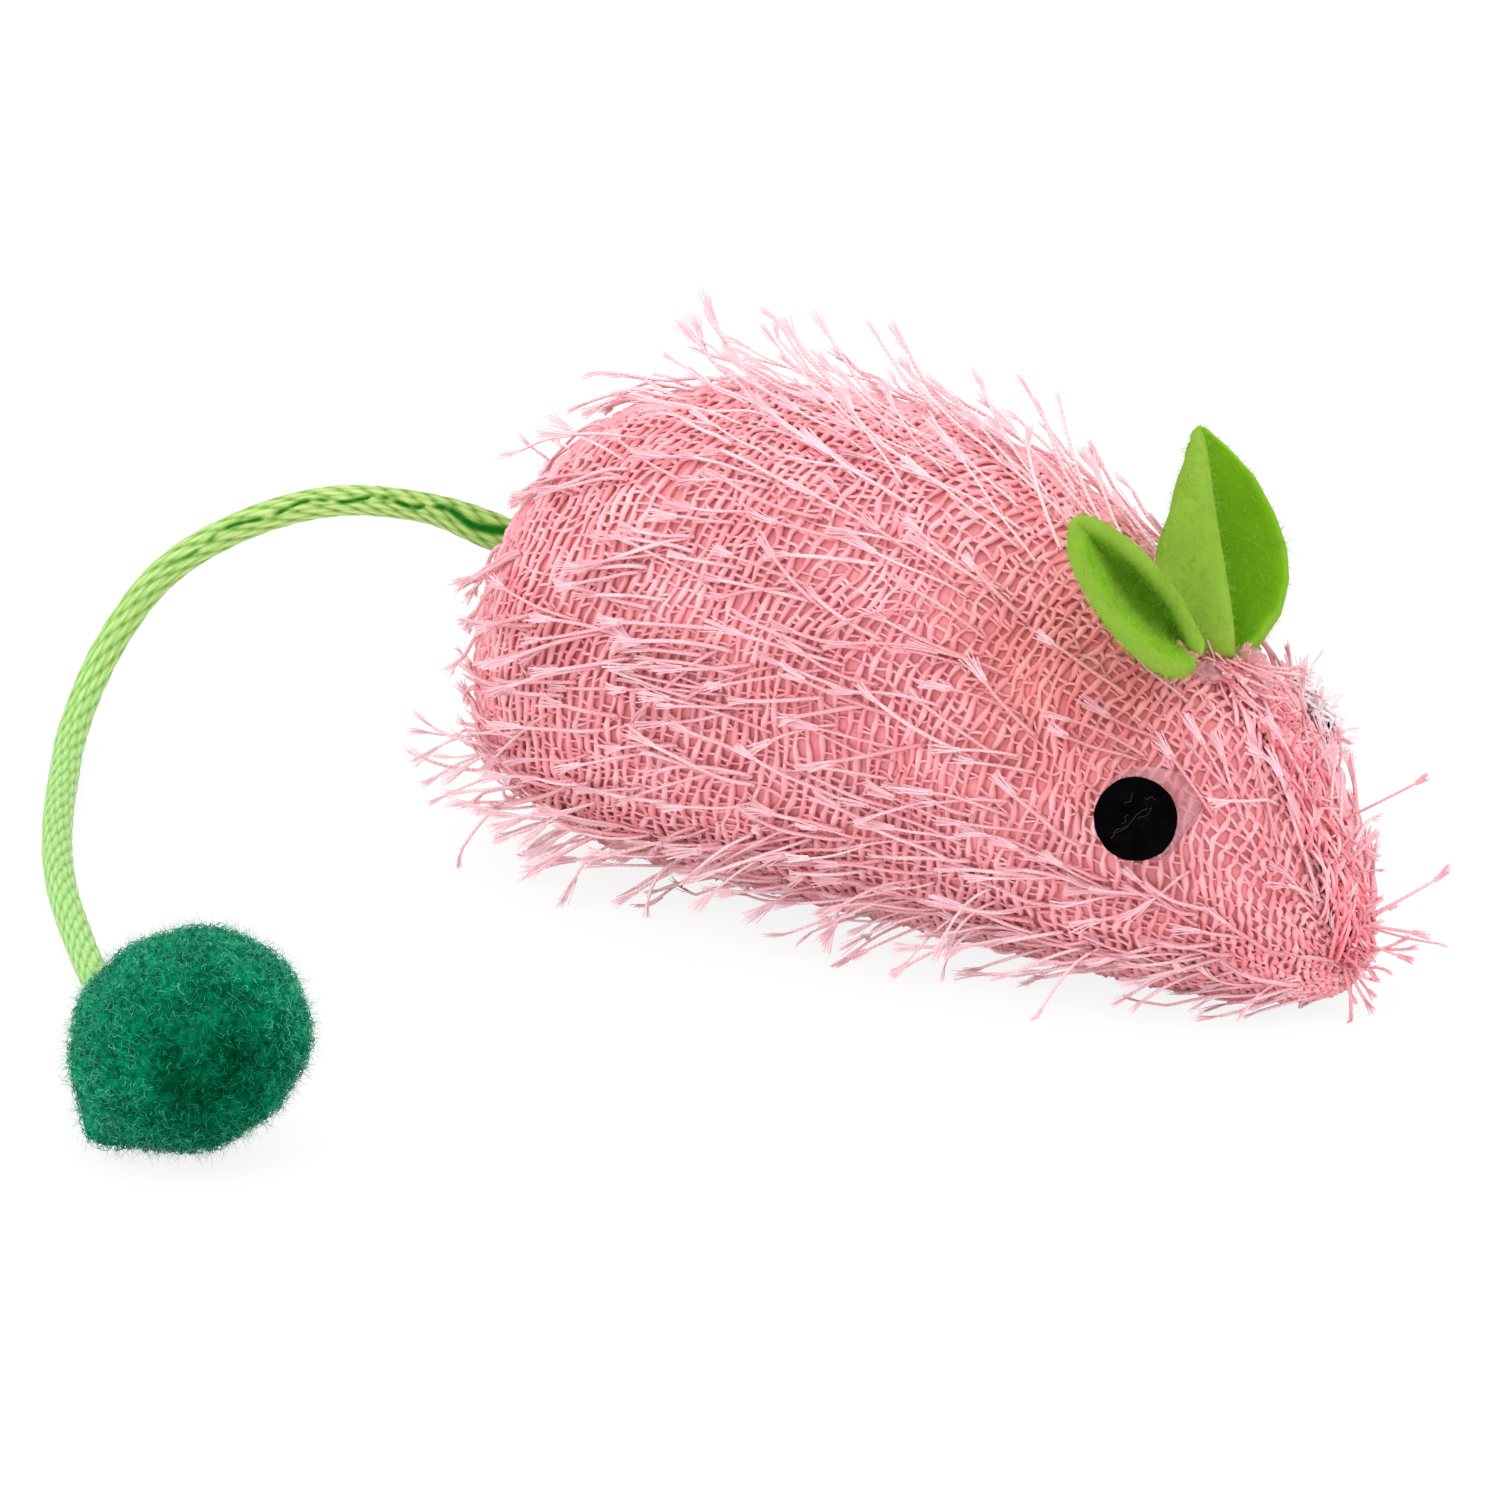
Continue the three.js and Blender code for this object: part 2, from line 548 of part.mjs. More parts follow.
function addBody() {
  addPiece('knit_cover', geometryOf(knitCover), pinkKnit);
  addPiece('backing_cloth', geometryOf(backingCloth), duskyCloth);
  addPiece('stuffing', geometryOf(stuffing), whiteFibre);
  addPiece('catnip_fill', geometryOf(catnip(0)), driedLeaf);
  addPiece('nose_seam', seamGeometry(), seamThread);
}

function addEyes() {
  for (const side of ['right', 'left']) {
    const { normal, seat } = eyeFrame(side);
    const eye = addPiece(`eye_${side}`, eyeGeometry(), blackFelt);
    eye.applyMatrix4(frameAlong(seat, normal));
    addPiece(`eye_glue_${side}`, geometryOf(eyeGlue(side)), clearGlue);
  }
}

function addEars() {
  addPiece('ear_right', geometryOf(earSolid('right')), limeFelt);
  addPiece('ear_left', geometryOf(earSolid('left')), limeFelt);
  addPiece('ear_glue', geometryOf(earGlue()), clearGlue);
}

function addTail() {
  const stub = knotCentre.x - tailExit.x - CORD_RADIUS - GAP;
  const knot = addPiece('tail_knot', knotGeometry(KNOT_RADIUS, stub), limeCord);
  knot.applyMatrix4(frameAlong(knotCentre, new THREE.Vector3(-1, 0, 0)));
  addPiece('tail_root', geometryOf(cordSolid(ROOT_ROUTE, ROOT_STEPS, 'start')), limeCord);
  addPiece('tail_cord', geometryOf(cordSolid(shortened(CORD_ROUTE), CORD_STEPS, 'end')), limeCord);
}

function addPompom() {
  addPiece('pompom', geometryOf(pompomSolid()), darkYarn);
  const knot = addPiece('pompom_knot', knotGeometry(END_KNOT_RADIUS, END_KNOT_DEPTH), limeCord);
  knot.applyMatrix4(frameAlong(endKnotCentre, pompomInward.clone().negate()));
  addPiece('pompom_glue', geometryOf(pompomGlue()), clearGlue);
}

addBody();
addEyes();
addEars();
addTail();
addPompom();

export default mouse;
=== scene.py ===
"""Catnip mouse: open pink net knit with pulled pile, felt ears, felt disc eyes, a satin cord
tail and a fuzzy pom-pom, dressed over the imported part.

Lengths are in millimetres and go to Blender's metres where a mesh is made. +X is the nose,
+Y the mouse's left and +Z up.
"""
import math

import bpy
import numpy as np
from mathutils import Matrix, Vector


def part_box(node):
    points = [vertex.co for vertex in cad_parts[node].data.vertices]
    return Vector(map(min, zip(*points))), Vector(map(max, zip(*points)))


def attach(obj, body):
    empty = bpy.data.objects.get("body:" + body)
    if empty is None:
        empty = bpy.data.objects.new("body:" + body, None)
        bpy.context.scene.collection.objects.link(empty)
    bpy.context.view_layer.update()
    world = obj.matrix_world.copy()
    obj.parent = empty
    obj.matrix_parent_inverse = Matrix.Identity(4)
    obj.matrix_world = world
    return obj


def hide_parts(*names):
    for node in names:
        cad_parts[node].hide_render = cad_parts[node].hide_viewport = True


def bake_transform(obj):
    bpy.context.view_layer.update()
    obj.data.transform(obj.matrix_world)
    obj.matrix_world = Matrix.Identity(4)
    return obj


MM = 0.001
TURN = 2 * math.pi
SEEDS = {"net": 11, "ear_right": 21, "ear_left": 22, "eye_right": 31, "eye_left": 32, "pile": 41,
         "seam": 51, "ear_tuft": 52, "fluff": 53, "pompom": 61}

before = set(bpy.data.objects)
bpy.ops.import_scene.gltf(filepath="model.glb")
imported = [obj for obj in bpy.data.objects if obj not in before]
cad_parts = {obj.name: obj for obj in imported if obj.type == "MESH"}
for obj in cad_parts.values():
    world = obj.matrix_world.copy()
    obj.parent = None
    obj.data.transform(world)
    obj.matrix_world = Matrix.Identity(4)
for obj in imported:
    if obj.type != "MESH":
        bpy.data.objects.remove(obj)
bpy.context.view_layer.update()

# Camera: the photograph's view
AZIMUTH = math.radians(37)
ELEVATION = math.radians(21)
IMAGE_SIDE = 1500
PIXELS_PER_MM = 12.6
ORIGIN_PIXEL = (939.5, 903.5)
LENS = 1400
SENSOR = 36

VIEW_RIGHT = np.array([math.cos(AZIMUTH), math.sin(AZIMUTH), 0])
VIEW_UP = np.array([
    -math.sin(AZIMUTH) * math.sin(ELEVATION),
    math.cos(AZIMUTH) * math.sin(ELEVATION),
    math.cos(ELEVATION),
])
VIEW_BACK = np.cross(VIEW_RIGHT, VIEW_UP)


def add_camera():
    data = bpy.data.cameras.new("camera")
    data.lens = LENS
    data.sensor_width = SENSOR
    camera = bpy.data.objects.new("camera", data)
    bpy.context.collection.objects.link(camera)
    across = (IMAGE_SIDE / 2 - ORIGIN_PIXEL[0]) / PIXELS_PER_MM
    above = (ORIGIN_PIXEL[1] - IMAGE_SIDE / 2) / PIXELS_PER_MM
    distance = IMAGE_SIDE / PIXELS_PER_MM * LENS / SENSOR
    place = VIEW_RIGHT * across + VIEW_UP * above + VIEW_BACK * distance
    turned = Matrix((VIEW_RIGHT, VIEW_UP, VIEW_BACK)).transposed().to_4x4()
    camera.matrix_world = Matrix.Translation(Vector(place * MM)) @ turned
    data.clip_start = 0.1
    data.clip_end = 20
    bpy.context.scene.camera = camera


# Meshes
def add_piece(name, shape, material, body="mouse", replaced=(), smooth=True):
    """A mesh object from points in millimetres, arrays of faces and the points' values.

    Each array holds faces of one number of sides. The piece rides the body, where one is named.
    """
    points, faces, values = shape
    mesh = bpy.data.meshes.new(name)
    loops = np.concatenate([part.ravel() for part in faces])
    sides = np.concatenate([np.full(len(part), part.shape[1]) for part in faces])
    starts = np.concatenate([[0], np.cumsum(sides)[:-1]])
    mesh.vertices.add(len(points))
    mesh.vertices.foreach_set("co", (np.asarray(points) * MM).astype(np.float32).ravel())
    mesh.loops.add(len(loops))
    mesh.loops.foreach_set("vertex_index", loops.astype(np.int32))
    mesh.polygons.add(len(sides))
    mesh.polygons.foreach_set("loop_start", starts.astype(np.int32))
    mesh.update(calc_edges=True)
    mesh.polygons.foreach_set("use_smooth", np.full(len(sides), smooth))
    for key, numbers in values.items():
        attribute = mesh.attributes.new(key, "FLOAT", "POINT")
        attribute.data.foreach_set("value", np.asarray(numbers, dtype=np.float32).ravel())
    mesh.materials.append(material)
    piece = bpy.data.objects.new(name, mesh)
    bpy.context.collection.objects.link(piece)
    if body:
        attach(piece, body)
    if replaced:
        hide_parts(*replaced)
    return piece


def unit(vectors):
    return vectors / np.maximum(np.linalg.norm(vectors, axis=-1, keepdims=True), 1e-9)


def square_to(ways, vectors):
    """The part of each vector that lies square to its way."""
    return vectors - (vectors * ways).sum(-1, keepdims=True) * ways


def circled(angle, across, above):
    """The ways at angles round a circle, from across towards above."""
    return np.cos(angle)[..., None] * across + np.sin(angle)[..., None] * above


def grid_faces(rows, columns, closed):
    """Quads of a grid of rows and columns, joined round from the last column to the first if closed."""
    row = np.arange(rows - 1)[:, None]
    column = np.arange(columns if closed else columns - 1)[None, :]
    after = (column + 1) % columns
    corners = [row * columns + column, row * columns + after,
               (row + 1) * columns + after, (row + 1) * columns + column]
    return np.stack(np.broadcast_arrays(*corners), axis=-1).reshape(-1, 4)


def shell(rings, flipped=False, **values):
    """A closed surface through rings of points, with a flat lid on the first and on the last."""
    rows, columns, _ = rings.shape
    lid = np.arange(columns)
    faces = [grid_faces(rows, columns, True), lid[::-1][None], (lid + (rows - 1) * columns)[None]]
    if flipped:
        faces = [part[:, ::-1] for part in faces]
    return rings.reshape(-1, 3), faces, values


def ball_ways(low, high, rows, columns):
    """The ways from a ball's middle to rings of its points, between two angles off the vertical."""
    polar = np.linspace(low, high, rows)[:, None]
    around = np.arange(columns)[None] * TURN / columns
    ways = np.stack([np.sin(polar) * np.cos(around), np.sin(polar) * np.sin(around),
                     np.cos(polar) + 0 * around], axis=-1)
    return ways, polar, around


def tubes(paths, radii, sides, flatness=1.0, wide=None, **values):
    """Closed tubes along paths, an array of (tubes, steps, 3), as points, faces and values.

    A tube of flatness below 1 is a ribbon, whose width lies the way of wide if that is given.
    A value is given for each tube, or for each step of each tube.
    """
    count, steps, _ = paths.shape
    along = unit(np.gradient(paths, axis=1))
    across = np.empty_like(paths)
    first = np.cross(along[:, 0], [0.0, 0.0, 1.0])
    if wide is not None:
        first = square_to(along[:, 0], wide)
    weak = np.linalg.norm(first, axis=-1) < 0.1
    first[weak] = np.cross(along[weak, 0], [0.0, 1.0, 0.0])
    across[:, 0] = unit(first)
    for step in range(1, steps):
        across[:, step] = unit(square_to(along[:, step], across[:, step - 1]))
    above = np.cross(along, across)
    turn = np.arange(sides) * TURN / sides
    width = radii[..., None, None] * np.cos(turn)[:, None]
    depth = radii[..., None, None] * flatness * np.sin(turn)[:, None]
    points = paths[:, :, None] + width * across[:, :, None] + depth * above[:, :, None]
    first_point = np.arange(count) * steps * sides
    walls = grid_faces(steps, sides, True)[None] + first_point[:, None, None]
    lid = np.arange(sides)
    starts = lid[::-1][None] + first_point[:, None]
    ends = lid[None] + first_point[:, None] + (steps - 1) * sides
    spread = {key: per_point(numbers, steps, sides) for key, numbers in values.items()}
    return points.reshape(-1, 3), [walls.reshape(-1, 4), starts, ends], spread


def per_point(values, steps, sides):
    """One value for each tube, or for each step of each tube, given to all their points."""
    values = np.asarray(values, dtype=float)
    if values.ndim == 1:
        values = np.repeat(values[:, None], steps, axis=1)
    return np.repeat(values[..., None], sides, axis=-1).ravel()


def ply_values(paths, sides):
    """For each point of tubes: its length along the thread in mm, and its side as two shares."""
    count, steps, _ = paths.shape
    run = np.cumsum(np.linalg.norm(np.diff(paths, axis=1, prepend=paths[:, :1]), axis=-1), axis=1)
    turn = np.arange(sides) * TURN / sides
    return {"run": per_point(run, steps, sides), "side_x": np.tile(np.cos(turn), count * steps),
            "side_y": np.tile(np.sin(turn), count * steps)}


def joined(parts):
    """Several (points, faces, values) as one."""
    points, faces, values, offset = [], {}, {}, 0
    for part_points, part_faces, part_values in parts:
        points.append(part_points)
        for part in part_faces:
            faces.setdefault(part.shape[1], []).append(part + offset)
        for key, numbers in part_values.items():
            values.setdefault(key, []).append(numbers)
        offset += len(part_points)
    return (np.concatenate(points), [np.concatenate(parts) for parts in faces.values()],
            {key: np.concatenate(numbers) for key, numbers in values.items()})


def kept_above(paths, floor):
    """The paths, with whatever lies lower than the floor's height lifted to it."""
    paths[..., 2] = np.maximum(paths[..., 2], floor)
    return paths


# Materials
SHOULDER = np.array([20.5, -8.5, 28])
# Painted shade on the yarn, warmer under the near ear: the place in mm, its reach and the tint that it takes
PAINTED_SHADE_SPOTS = [
    (SHOULDER, 17, (0.82, 0.6, 0.54, 1)),
    (np.array([36, -6, 12]), 15, (0.93, 0.84, 0.85, 1))]
PAINTED_SHADE_HEART = 3
PAINTED_SHADE_STRENGTH = 0.9
WHITE = (1, 1, 1, 1)


def srgb(red, green, blue):
    """A colour as a screen shows it, 0 to 255, as the linear colour that a shader takes."""
    linear = [c / 12.92 if c <= 0.04045 else ((c + 0.055) / 1.055) ** 2.4
              for c in (red / 255, green / 255, blue / 255)]
    return (*linear, 1.0)


class Stuff:
    """A material or a world and its nodes. Most methods add a node and give its output."""

    def __init__(self, holder):
        holder.use_nodes = True
        self.holder = holder
        self.tree = holder.node_tree
        self.shader = self.tree.nodes.get("Principled BSDF")

    def put(self, socket, value):
        """Gives an input a number or a colour, or links it to an output."""
        if isinstance(value, bpy.types.NodeSocket):
            self.tree.links.new(value, socket)
        else:
            socket.default_value = value

    def add(self, kind, inputs, **settings):
        node = self.tree.nodes.new(f"ShaderNode{kind}")
        for key, value in settings.items():
            setattr(node, key, value)
        for key, value in inputs.items():
            self.put(node.inputs[key], value)
        return node

    def place(self):
        """The place of a point in the object's own metres."""
        return self.add("TexCoord", {}).outputs["Object"]

    def noise(self, scale, detail=3):
        """Noise with so many features a metre."""
        inputs = {"Vector": self.place(), "Scale": scale, "Detail": detail}
        return self.add("TexNoise", inputs).outputs["Fac"]

    def attribute(self, name):
        return self.add("Attribute", {}, attribute_name=name).outputs["Fac"]

    def maths(self, operation, first, second=0.0):
        return self.add("Math", {0: first, 1: second}, operation=operation).outputs[0]

    def times(self, first, second):
        return self.maths("MULTIPLY", first, second)

    def ramp(self, source, *stops):
        node = self.add("ValToRGB", {"Fac": source})
        elements = node.color_ramp.elements
        while len(elements) < len(stops):
            elements.new(0.5)
        for element, (place, colour) in zip(elements, stops):
            element.position = place
            element.color = colour
        return node.outputs["Color"]

    def blend(self, factor, first, second, mode="MIX"):
        inputs = {0: factor, 6: first, 7: second}
        return self.add("Mix", inputs, data_type="RGBA", blend_type=mode).outputs[2]

    def tinted(self, colour, tint, share=1.0):
        return self.blend(share, colour, tint, "MULTIPLY")

    def bump(self, height, strength, distance):
        inputs = {"Height": height, "Strength": strength, "Distance": distance * MM}
        self.put(self.shader.inputs["Normal"], self.add("Bump", inputs).outputs["Normal"])

    def finish(self, colour, roughness, gloss=0.5):
        """The material with its colour and gloss."""
        values = {"Base Color": colour, "Roughness": roughness, "Specular IOR Level": gloss}
        for name, value in values.items():
            self.put(self.shader.inputs[name], value)
        return self.holder


def new_stuff(name):
    return Stuff(bpy.data.materials.new(name))


def plain_stuff(name, dark, light, roughness, scale, bump=0.0):
    """A dull material between two colours, mottled at so many features a metre."""
    stuff = new_stuff(name)
    grain = stuff.noise(scale, 4)
    if bump:
        stuff.bump(grain, 0.5, bump)
    colour = stuff.ramp(grain, (0.3, dark), (0.7, light))
    return stuff.finish(colour, roughness, 0.1 if roughness > 0.8 else 0.4)


def with_painted_shade(stuff, colour):
    """The colour with painted shade, deeper and warmer on the shoulder under the near ear and on the near
    cheek.
    """
    for centre, reach, tint in PAINTED_SHADE_SPOTS:
        inputs = {0: stuff.place(), 1: centre * MM}
        apart = stuff.add("VectorMath", inputs, operation="DISTANCE").outputs["Value"]
        inputs = {"Value": apart, "From Min": PAINTED_SHADE_HEART * MM, "From Max": reach * MM,
                  "To Min": PAINTED_SHADE_STRENGTH, "To Max": 0}
        fade = stuff.add("MapRange", inputs, interpolation_type="SMOOTHSTEP").outputs["Result"]
        colour = stuff.tinted(colour, tint, fade)
    return colour


# Body: the same sections as the part, from rump to nose. A turn of 0 is the rump's pole and 1
# the nose's tip. An angle of 0 is the mouse's left, a quarter turn the back.
TURN_SHARES = np.array([0, 0.09, 0.16, 0.245, 0.34, 0.435, 0.53, 0.63, 0.705, 0.795, 0.89, 0.95, 1])
WIDTH_SHARES = np.array([0, 0.5, 0.73, 0.92, 1, 0.97, 0.9, 0.79, 0.69, 0.527, 0.315, 0.16, 0])
TOP_SHARES = np.array([
    0.47, 0.63, 0.77, 0.905, 0.972, 1, 0.97, 0.845, 0.725, 0.568, 0.335, 0.19, 0.085])
BELLY_SHARES = np.array([
    0.47, 0.15, 0.06, 0.006, -0.0125, -0.0125, -0.0125, -0.0125, -0.0125, 0, 0.026, 0.05, 0.085])
WAIST_SHARE = 0.45
UPPER_ROUNDNESS = 2.1
LOWER_ROUNDNESS = 2.2

cover_high = np.array(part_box("knit_cover")[1]) / MM
HALF_LENGTH = cover_high[0]
HALF_WIDTH = cover_high[1]
HEIGHT = cover_high[2]


def smooth_table(values):
    """A smooth curve through a table of shares at TURN_SHARES that never overshoots them."""
    rises = np.diff(values) / np.diff(TURN_SHARES)
    before, after = rises[:-1], rises[1:]
    level = before * after <= 0
    mean = 2 * before * after / np.where(level, 1, before + after)
    slopes = np.concatenate([rises[:1], np.where(level, 0, mean), rises[-1:]])

    def curve(at):
        at = np.clip(at, 0, 1)
        low = np.clip(np.searchsorted(TURN_SHARES, at) - 1, 0, len(values) - 2)
        step = TURN_SHARES[low + 1] - TURN_SHARES[low]
        t = (at - TURN_SHARES[low]) / step
        stay = 1 - t
        return (values[low] * (1 + 2 * t) * stay**2 + values[low + 1] * (3 - 2 * t) * t**2
                + step * t * stay * (slopes[low] * stay - slopes[low + 1] * t))

    return curve


width_at = smooth_table(WIDTH_SHARES)
top_at = smooth_table(TOP_SHARES)
belly_at = smooth_table(BELLY_SHARES)


def signed_power(value, roundness):
    return np.sign(value) * np.abs(value) ** (2 / roundness)


def body_point(turn, angle, inset=0.0):
    """Points of the skin, or of a layer inset under it."""
    turn, angle = np.broadcast_arrays(turn, angle)
    up = np.sin(angle)
    top = top_at(turn) * HEIGHT
    belly = belly_at(turn) * HEIGHT
    waist = belly + WAIST_SHARE * (top - belly)
    roundness = np.where(up >= 0, UPPER_ROUNDNESS, LOWER_ROUNDNESS)
    height = waist + np.where(up >= 0, top - waist, waist - belly) * signed_power(up, roundness)
    middle = HEIGHT / 2
    return np.stack([
        -np.cos(np.pi * turn) * (HALF_LENGTH - inset),
        width_at(turn) * signed_power(np.cos(angle), roundness) * (HALF_WIDTH - inset),
        middle + (np.maximum(height, 0) - middle) * (1 - inset / middle),
    ], axis=-1)


def body_normal(turn, angle):
    step = 1e-3
    at = body_point(turn, angle)
    along = body_point(np.asarray(turn) + step, angle) - at
    around = body_point(turn, np.asarray(angle) + step) - at
    return unit(np.cross(around, along))


def turn_at(x):
    return np.arccos(np.clip(-x / HALF_LENGTH, -1, 1)) / np.pi


def hug(points, height):
    """The points moved out or in, across the body's length, to stand so high over the skin."""
    x, y, z = np.moveaxis(points, -1, 0)
    turn = turn_at(x)
    width = np.maximum(width_at(turn) * HALF_WIDTH, 0.5)
    top = top_at(turn) * HEIGHT
    belly = np.minimum(belly_at(turn) * HEIGHT, top - 1)
    waist = belly + WAIST_SHARE * (top - belly)
    rise = z - waist
    half = np.where(rise > 0, top - waist, waist - belly)
    roundness = np.where(rise > 0, UPPER_ROUNDNESS, LOWER_ROUNDNESS)
    share = ((np.abs(y) / width) ** roundness + (np.abs(rise) / half) ** roundness) ** (1 / roundness)
    reach = np.maximum(np.hypot(y, rise), 1e-3)
    scale = (reach / np.maximum(share, 1e-3) + height) / reach
    end = np.clip((np.abs(x) / HALF_LENGTH - 0.9) / 0.07, 0, 1)
    scale = np.where(scale < 1, scale * (1 - end) + end, scale)
    return np.stack([x, y * scale, np.maximum(waist + rise * scale, 0.15)], axis=-1)


# Cord: the part's own route, straight out of the rump, down and along the surface
CORD_DIAMETER = 2.5
CORD_HINGE = (-52.3, 1.7, 21.1)
CORD_ROUTE = [
    (-41.2, 0, 21.2), (-43.9, 0.1, 21.3), (-46.6, 0.5, 21.4), (-49.4, 1.1, 21.35), CORD_HINGE,
    (-56.6, 2.4, 20.4), (-60.7, 2.6, 19.6), (-64.4, 2.2, 18.5), (-68, 1.3, 17),
    (-71.2, 0, 15.2), (-74, -1.8, 13.1), (-75.9, -3.7, 10.8), (-77, -5.8, 8.2), (-77.2, -8.6, 5.7),
    (-76.5, -11.8, 3.5), (-74.3, -16.5, 1.9), (-70.4, -22.5, 1.3), (-65.2, -30, 1.25),
    (-60, -36.8, 1.25), (-54.7, -42.9, 1.25), (-48.4, -49.3, 1.25), (-42.9, -54.6, 1.25),
    (-37, -59.8, 1.3), (-31.6, -64.4, 1.8), (-27.2, -68, 3.2), (-23.6, -70.9, 5)]
CORD_STEP = 0.16
CORD_AROUND = 64
CORD_COLUMNS = 12
CORD_STITCH = 2.3
CORD_RELIEF = 0.24
CORD_GAP_END = 42
CORD_SWELL = 0.28
CORD_END_ROWS = 4
CORD_LAY = 0.05
# How far from the rump the cord is painted in shade
CORD_SHADE_END = 20
# How dense the satin's fine streaks are along the cord and across it
CORD_STREAKS = (("run", 0.9), ("side_x", 13), ("side_y", 13))


def route_curve(points, step):
    """A centripetal curve through the points, sampled at an even step along its length."""
    points = np.array(points, dtype=float)
    ends = np.vstack([2 * points[0] - points[1], points, 2 * points[-1] - points[-2]])
    dense = []
    for a, b, c, d in zip(ends, ends[1:], ends[2:], ends[3:]):
        knots = np.cumsum([0] + [math.sqrt(np.linalg.norm(q - p)) for p, q in ((a, b), (b, c), (c, d))])
        t = np.linspace(knots[1], knots[2], 24, endpoint=False)[:, None]

        def between(p, q, low, high):
            return p * (high - t) / (high - low) + q * (t - low) / (high - low)

        ab = between(a, b, knots[0], knots[1])
        bc = between(b, c, knots[1], knots[2])
        cd = between(c, d, knots[2], knots[3])
        dense.append(between(between(ab, bc, knots[0], knots[2]),
                             between(bc, cd, knots[1], knots[3]), knots[1], knots[2]))
    dense = np.vstack([*dense, points[-1:]])
    reached = np.concatenate([[0], np.cumsum(np.linalg.norm(np.diff(dense, axis=0), axis=1))])
    places = np.linspace(0, reached[-1], round(reached[-1] / step) + 1)
    return np.stack([np.interp(places, reached, dense[:, i]) for i in range(3)], axis=-1), places


def stitch_height(length, angle):
    """The relief of the braid's slanted stitches, 0 in the gaps and 1 on the strands' crowns."""
    column = angle / TURN * CORD_COLUMNS
    row = length / CORD_STITCH
    crown = np.zeros(np.broadcast(column, row).shape)
    for side in (-1, 0, 1):
        cell = np.floor(column) + side
        across = column - cell - 0.5
        shifted = row + 0.38 * (cell % CORD_COLUMNS)
        for step in (-1, 0, 1):
            ahead = shifted - np.floor(shifted) - 0.5 - step
            off = across - 0.62 * ahead
            crown = np.maximum(crown, 1 - (off / 0.52) ** 2 - (ahead / 0.9) ** 2)
    return np.sqrt(np.clip(crown, 0, 1))


def cord_material():
    stuff = new_stuff("satin_cord")
    relief = stuff.attribute("relief")
    run = stuff.attribute("run")
    # Both ramps paint shade in the gaps between strands and a highlight on the strands' crowns; nearer the
    # rump the painted shade is deeper and the highlight brighter.
    near = stuff.ramp(
        relief, (0.0, srgb(4, 104, 10)), (0.22, srgb(44, 116, 30)), (0.42, srgb(96, 134, 44)),
        (0.68, srgb(144, 172, 76)), (1.0, srgb(206, 224, 142)))
    fresh = stuff.ramp(
        relief, (0.0, srgb(34, 112, 36)), (0.3, srgb(84, 156, 66)), (0.65, srgb(132, 188, 96)),
        (1.0, srgb(176, 216, 134)))
    away = stuff.maths("MINIMUM", stuff.times(run, 1 / (1.5 * CORD_GAP_END)), 1.0)
    colour = stuff.blend(away, near, fresh)
    lengthwise = {index: stuff.times(stuff.attribute(name), density)
                  for index, (name, density) in enumerate(CORD_STREAKS)}
    fibres = {"Vector": stuff.add("CombineXYZ", lengthwise).outputs[0], "Scale": 1, "Detail": 3}
    streaks = stuff.add("TexNoise", fibres).outputs["Fac"]
    colour = stuff.tinted(colour, stuff.ramp(streaks, (0.35, srgb(222, 228, 200)), (0.6, WHITE)))
    # Painted shade on the cord's first stretch, beside the rump
    rump = stuff.times(run, 1 / CORD_SHADE_END)
    colour = stuff.tinted(colour, stuff.ramp(rump, (0.2, (0.62, 0.74, 0.5, 1)), (1.0, WHITE)))
    stuff.bump(streaks, 0.4, 0.08)
    # Only the strands' crowns are glossy.
    return stuff.finish(colour, 0.4, stuff.times(relief, 0.45))


def add_cord():
    path, places = route_curve(CORD_ROUTE, CORD_STEP)
    along = unit(np.gradient(path, axis=0))
    across = np.empty_like(path)
    across[0] = unit(np.cross(along[0], [0, 0, 1]))
    for i in range(1, len(path)):
        across[i] = unit(across[i - 1] - across[i - 1].dot(along[i]) * along[i])
    above = np.cross(along, across)
    angle = np.arange(CORD_AROUND) * TURN / CORD_AROUND
    run = places[:, None]
    height = stitch_height(run, angle[None] + CORD_LAY * run)
    # On the picture's side the strands open on a gap, whose dark green is painted shade, most near the rump.
    gap = np.arctan2(above @ VIEW_BACK, across @ VIEW_BACK)[:, None]
    gap = gap + 0.22 * np.sin(run * 0.83 + 1) + 0.1
    turned = (angle[None] - gap + np.pi) % TURN - np.pi
    wide = 0.13 + 0.2 * np.exp(-run / 8)
    opened = np.exp(-(turned / wide) ** 4) * smooth_step(CORD_GAP_END, CORD_GAP_END - 12, run)
    dashes = np.clip(0.8 + 0.5 * np.sin(run * 1.1) + 0.45 * np.sin(run * 2.9 + 1), 0, 1)
    height = height * (1 - 0.97 * opened * np.maximum(dashes, smooth_step(10, 5, run)))
    swell = CORD_SWELL * smooth_step(12, 3, run)
    radius = CORD_DIAMETER / 2 + swell - CORD_RELIEF * (1 - height)
    points = path[:, None] + radius[..., None] * circled(angle[None], across[:, None], above[:, None])
    # The far end is round, and the pom-pom turns about it.
    rise = (np.arange(CORD_END_ROWS) + 1)[:, None, None] / (CORD_END_ROWS + 1) * TURN / 4
    tip = path[-1] + np.cos(rise) * (points[-1] - path[-1]) + np.sin(rise) * CORD_DIAMETER / 2 * along[-1]
    rings = np.concatenate([points, tip])
    shape = shell(
        rings, relief=np.concatenate([height, np.tile(height[-1], (CORD_END_ROWS, 1))]),
        run=np.repeat(np.append(places, np.full(CORD_END_ROWS, places[-1])), CORD_AROUND),
        side_x=np.tile(np.cos(angle), len(rings)), side_y=np.tile(np.sin(angle), len(rings)))
    cord = add_piece("satin_cord", shape, cord_material(), None, ("tail_root", "tail_cord"))
    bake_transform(cord)
    return cord, path, places[-1]


# Stage
FLOOR_COLOUR = (0.93, 0.93, 0.93, 1)
FLOOR_GLOW = 0.86
DAYLIGHT = 1.34
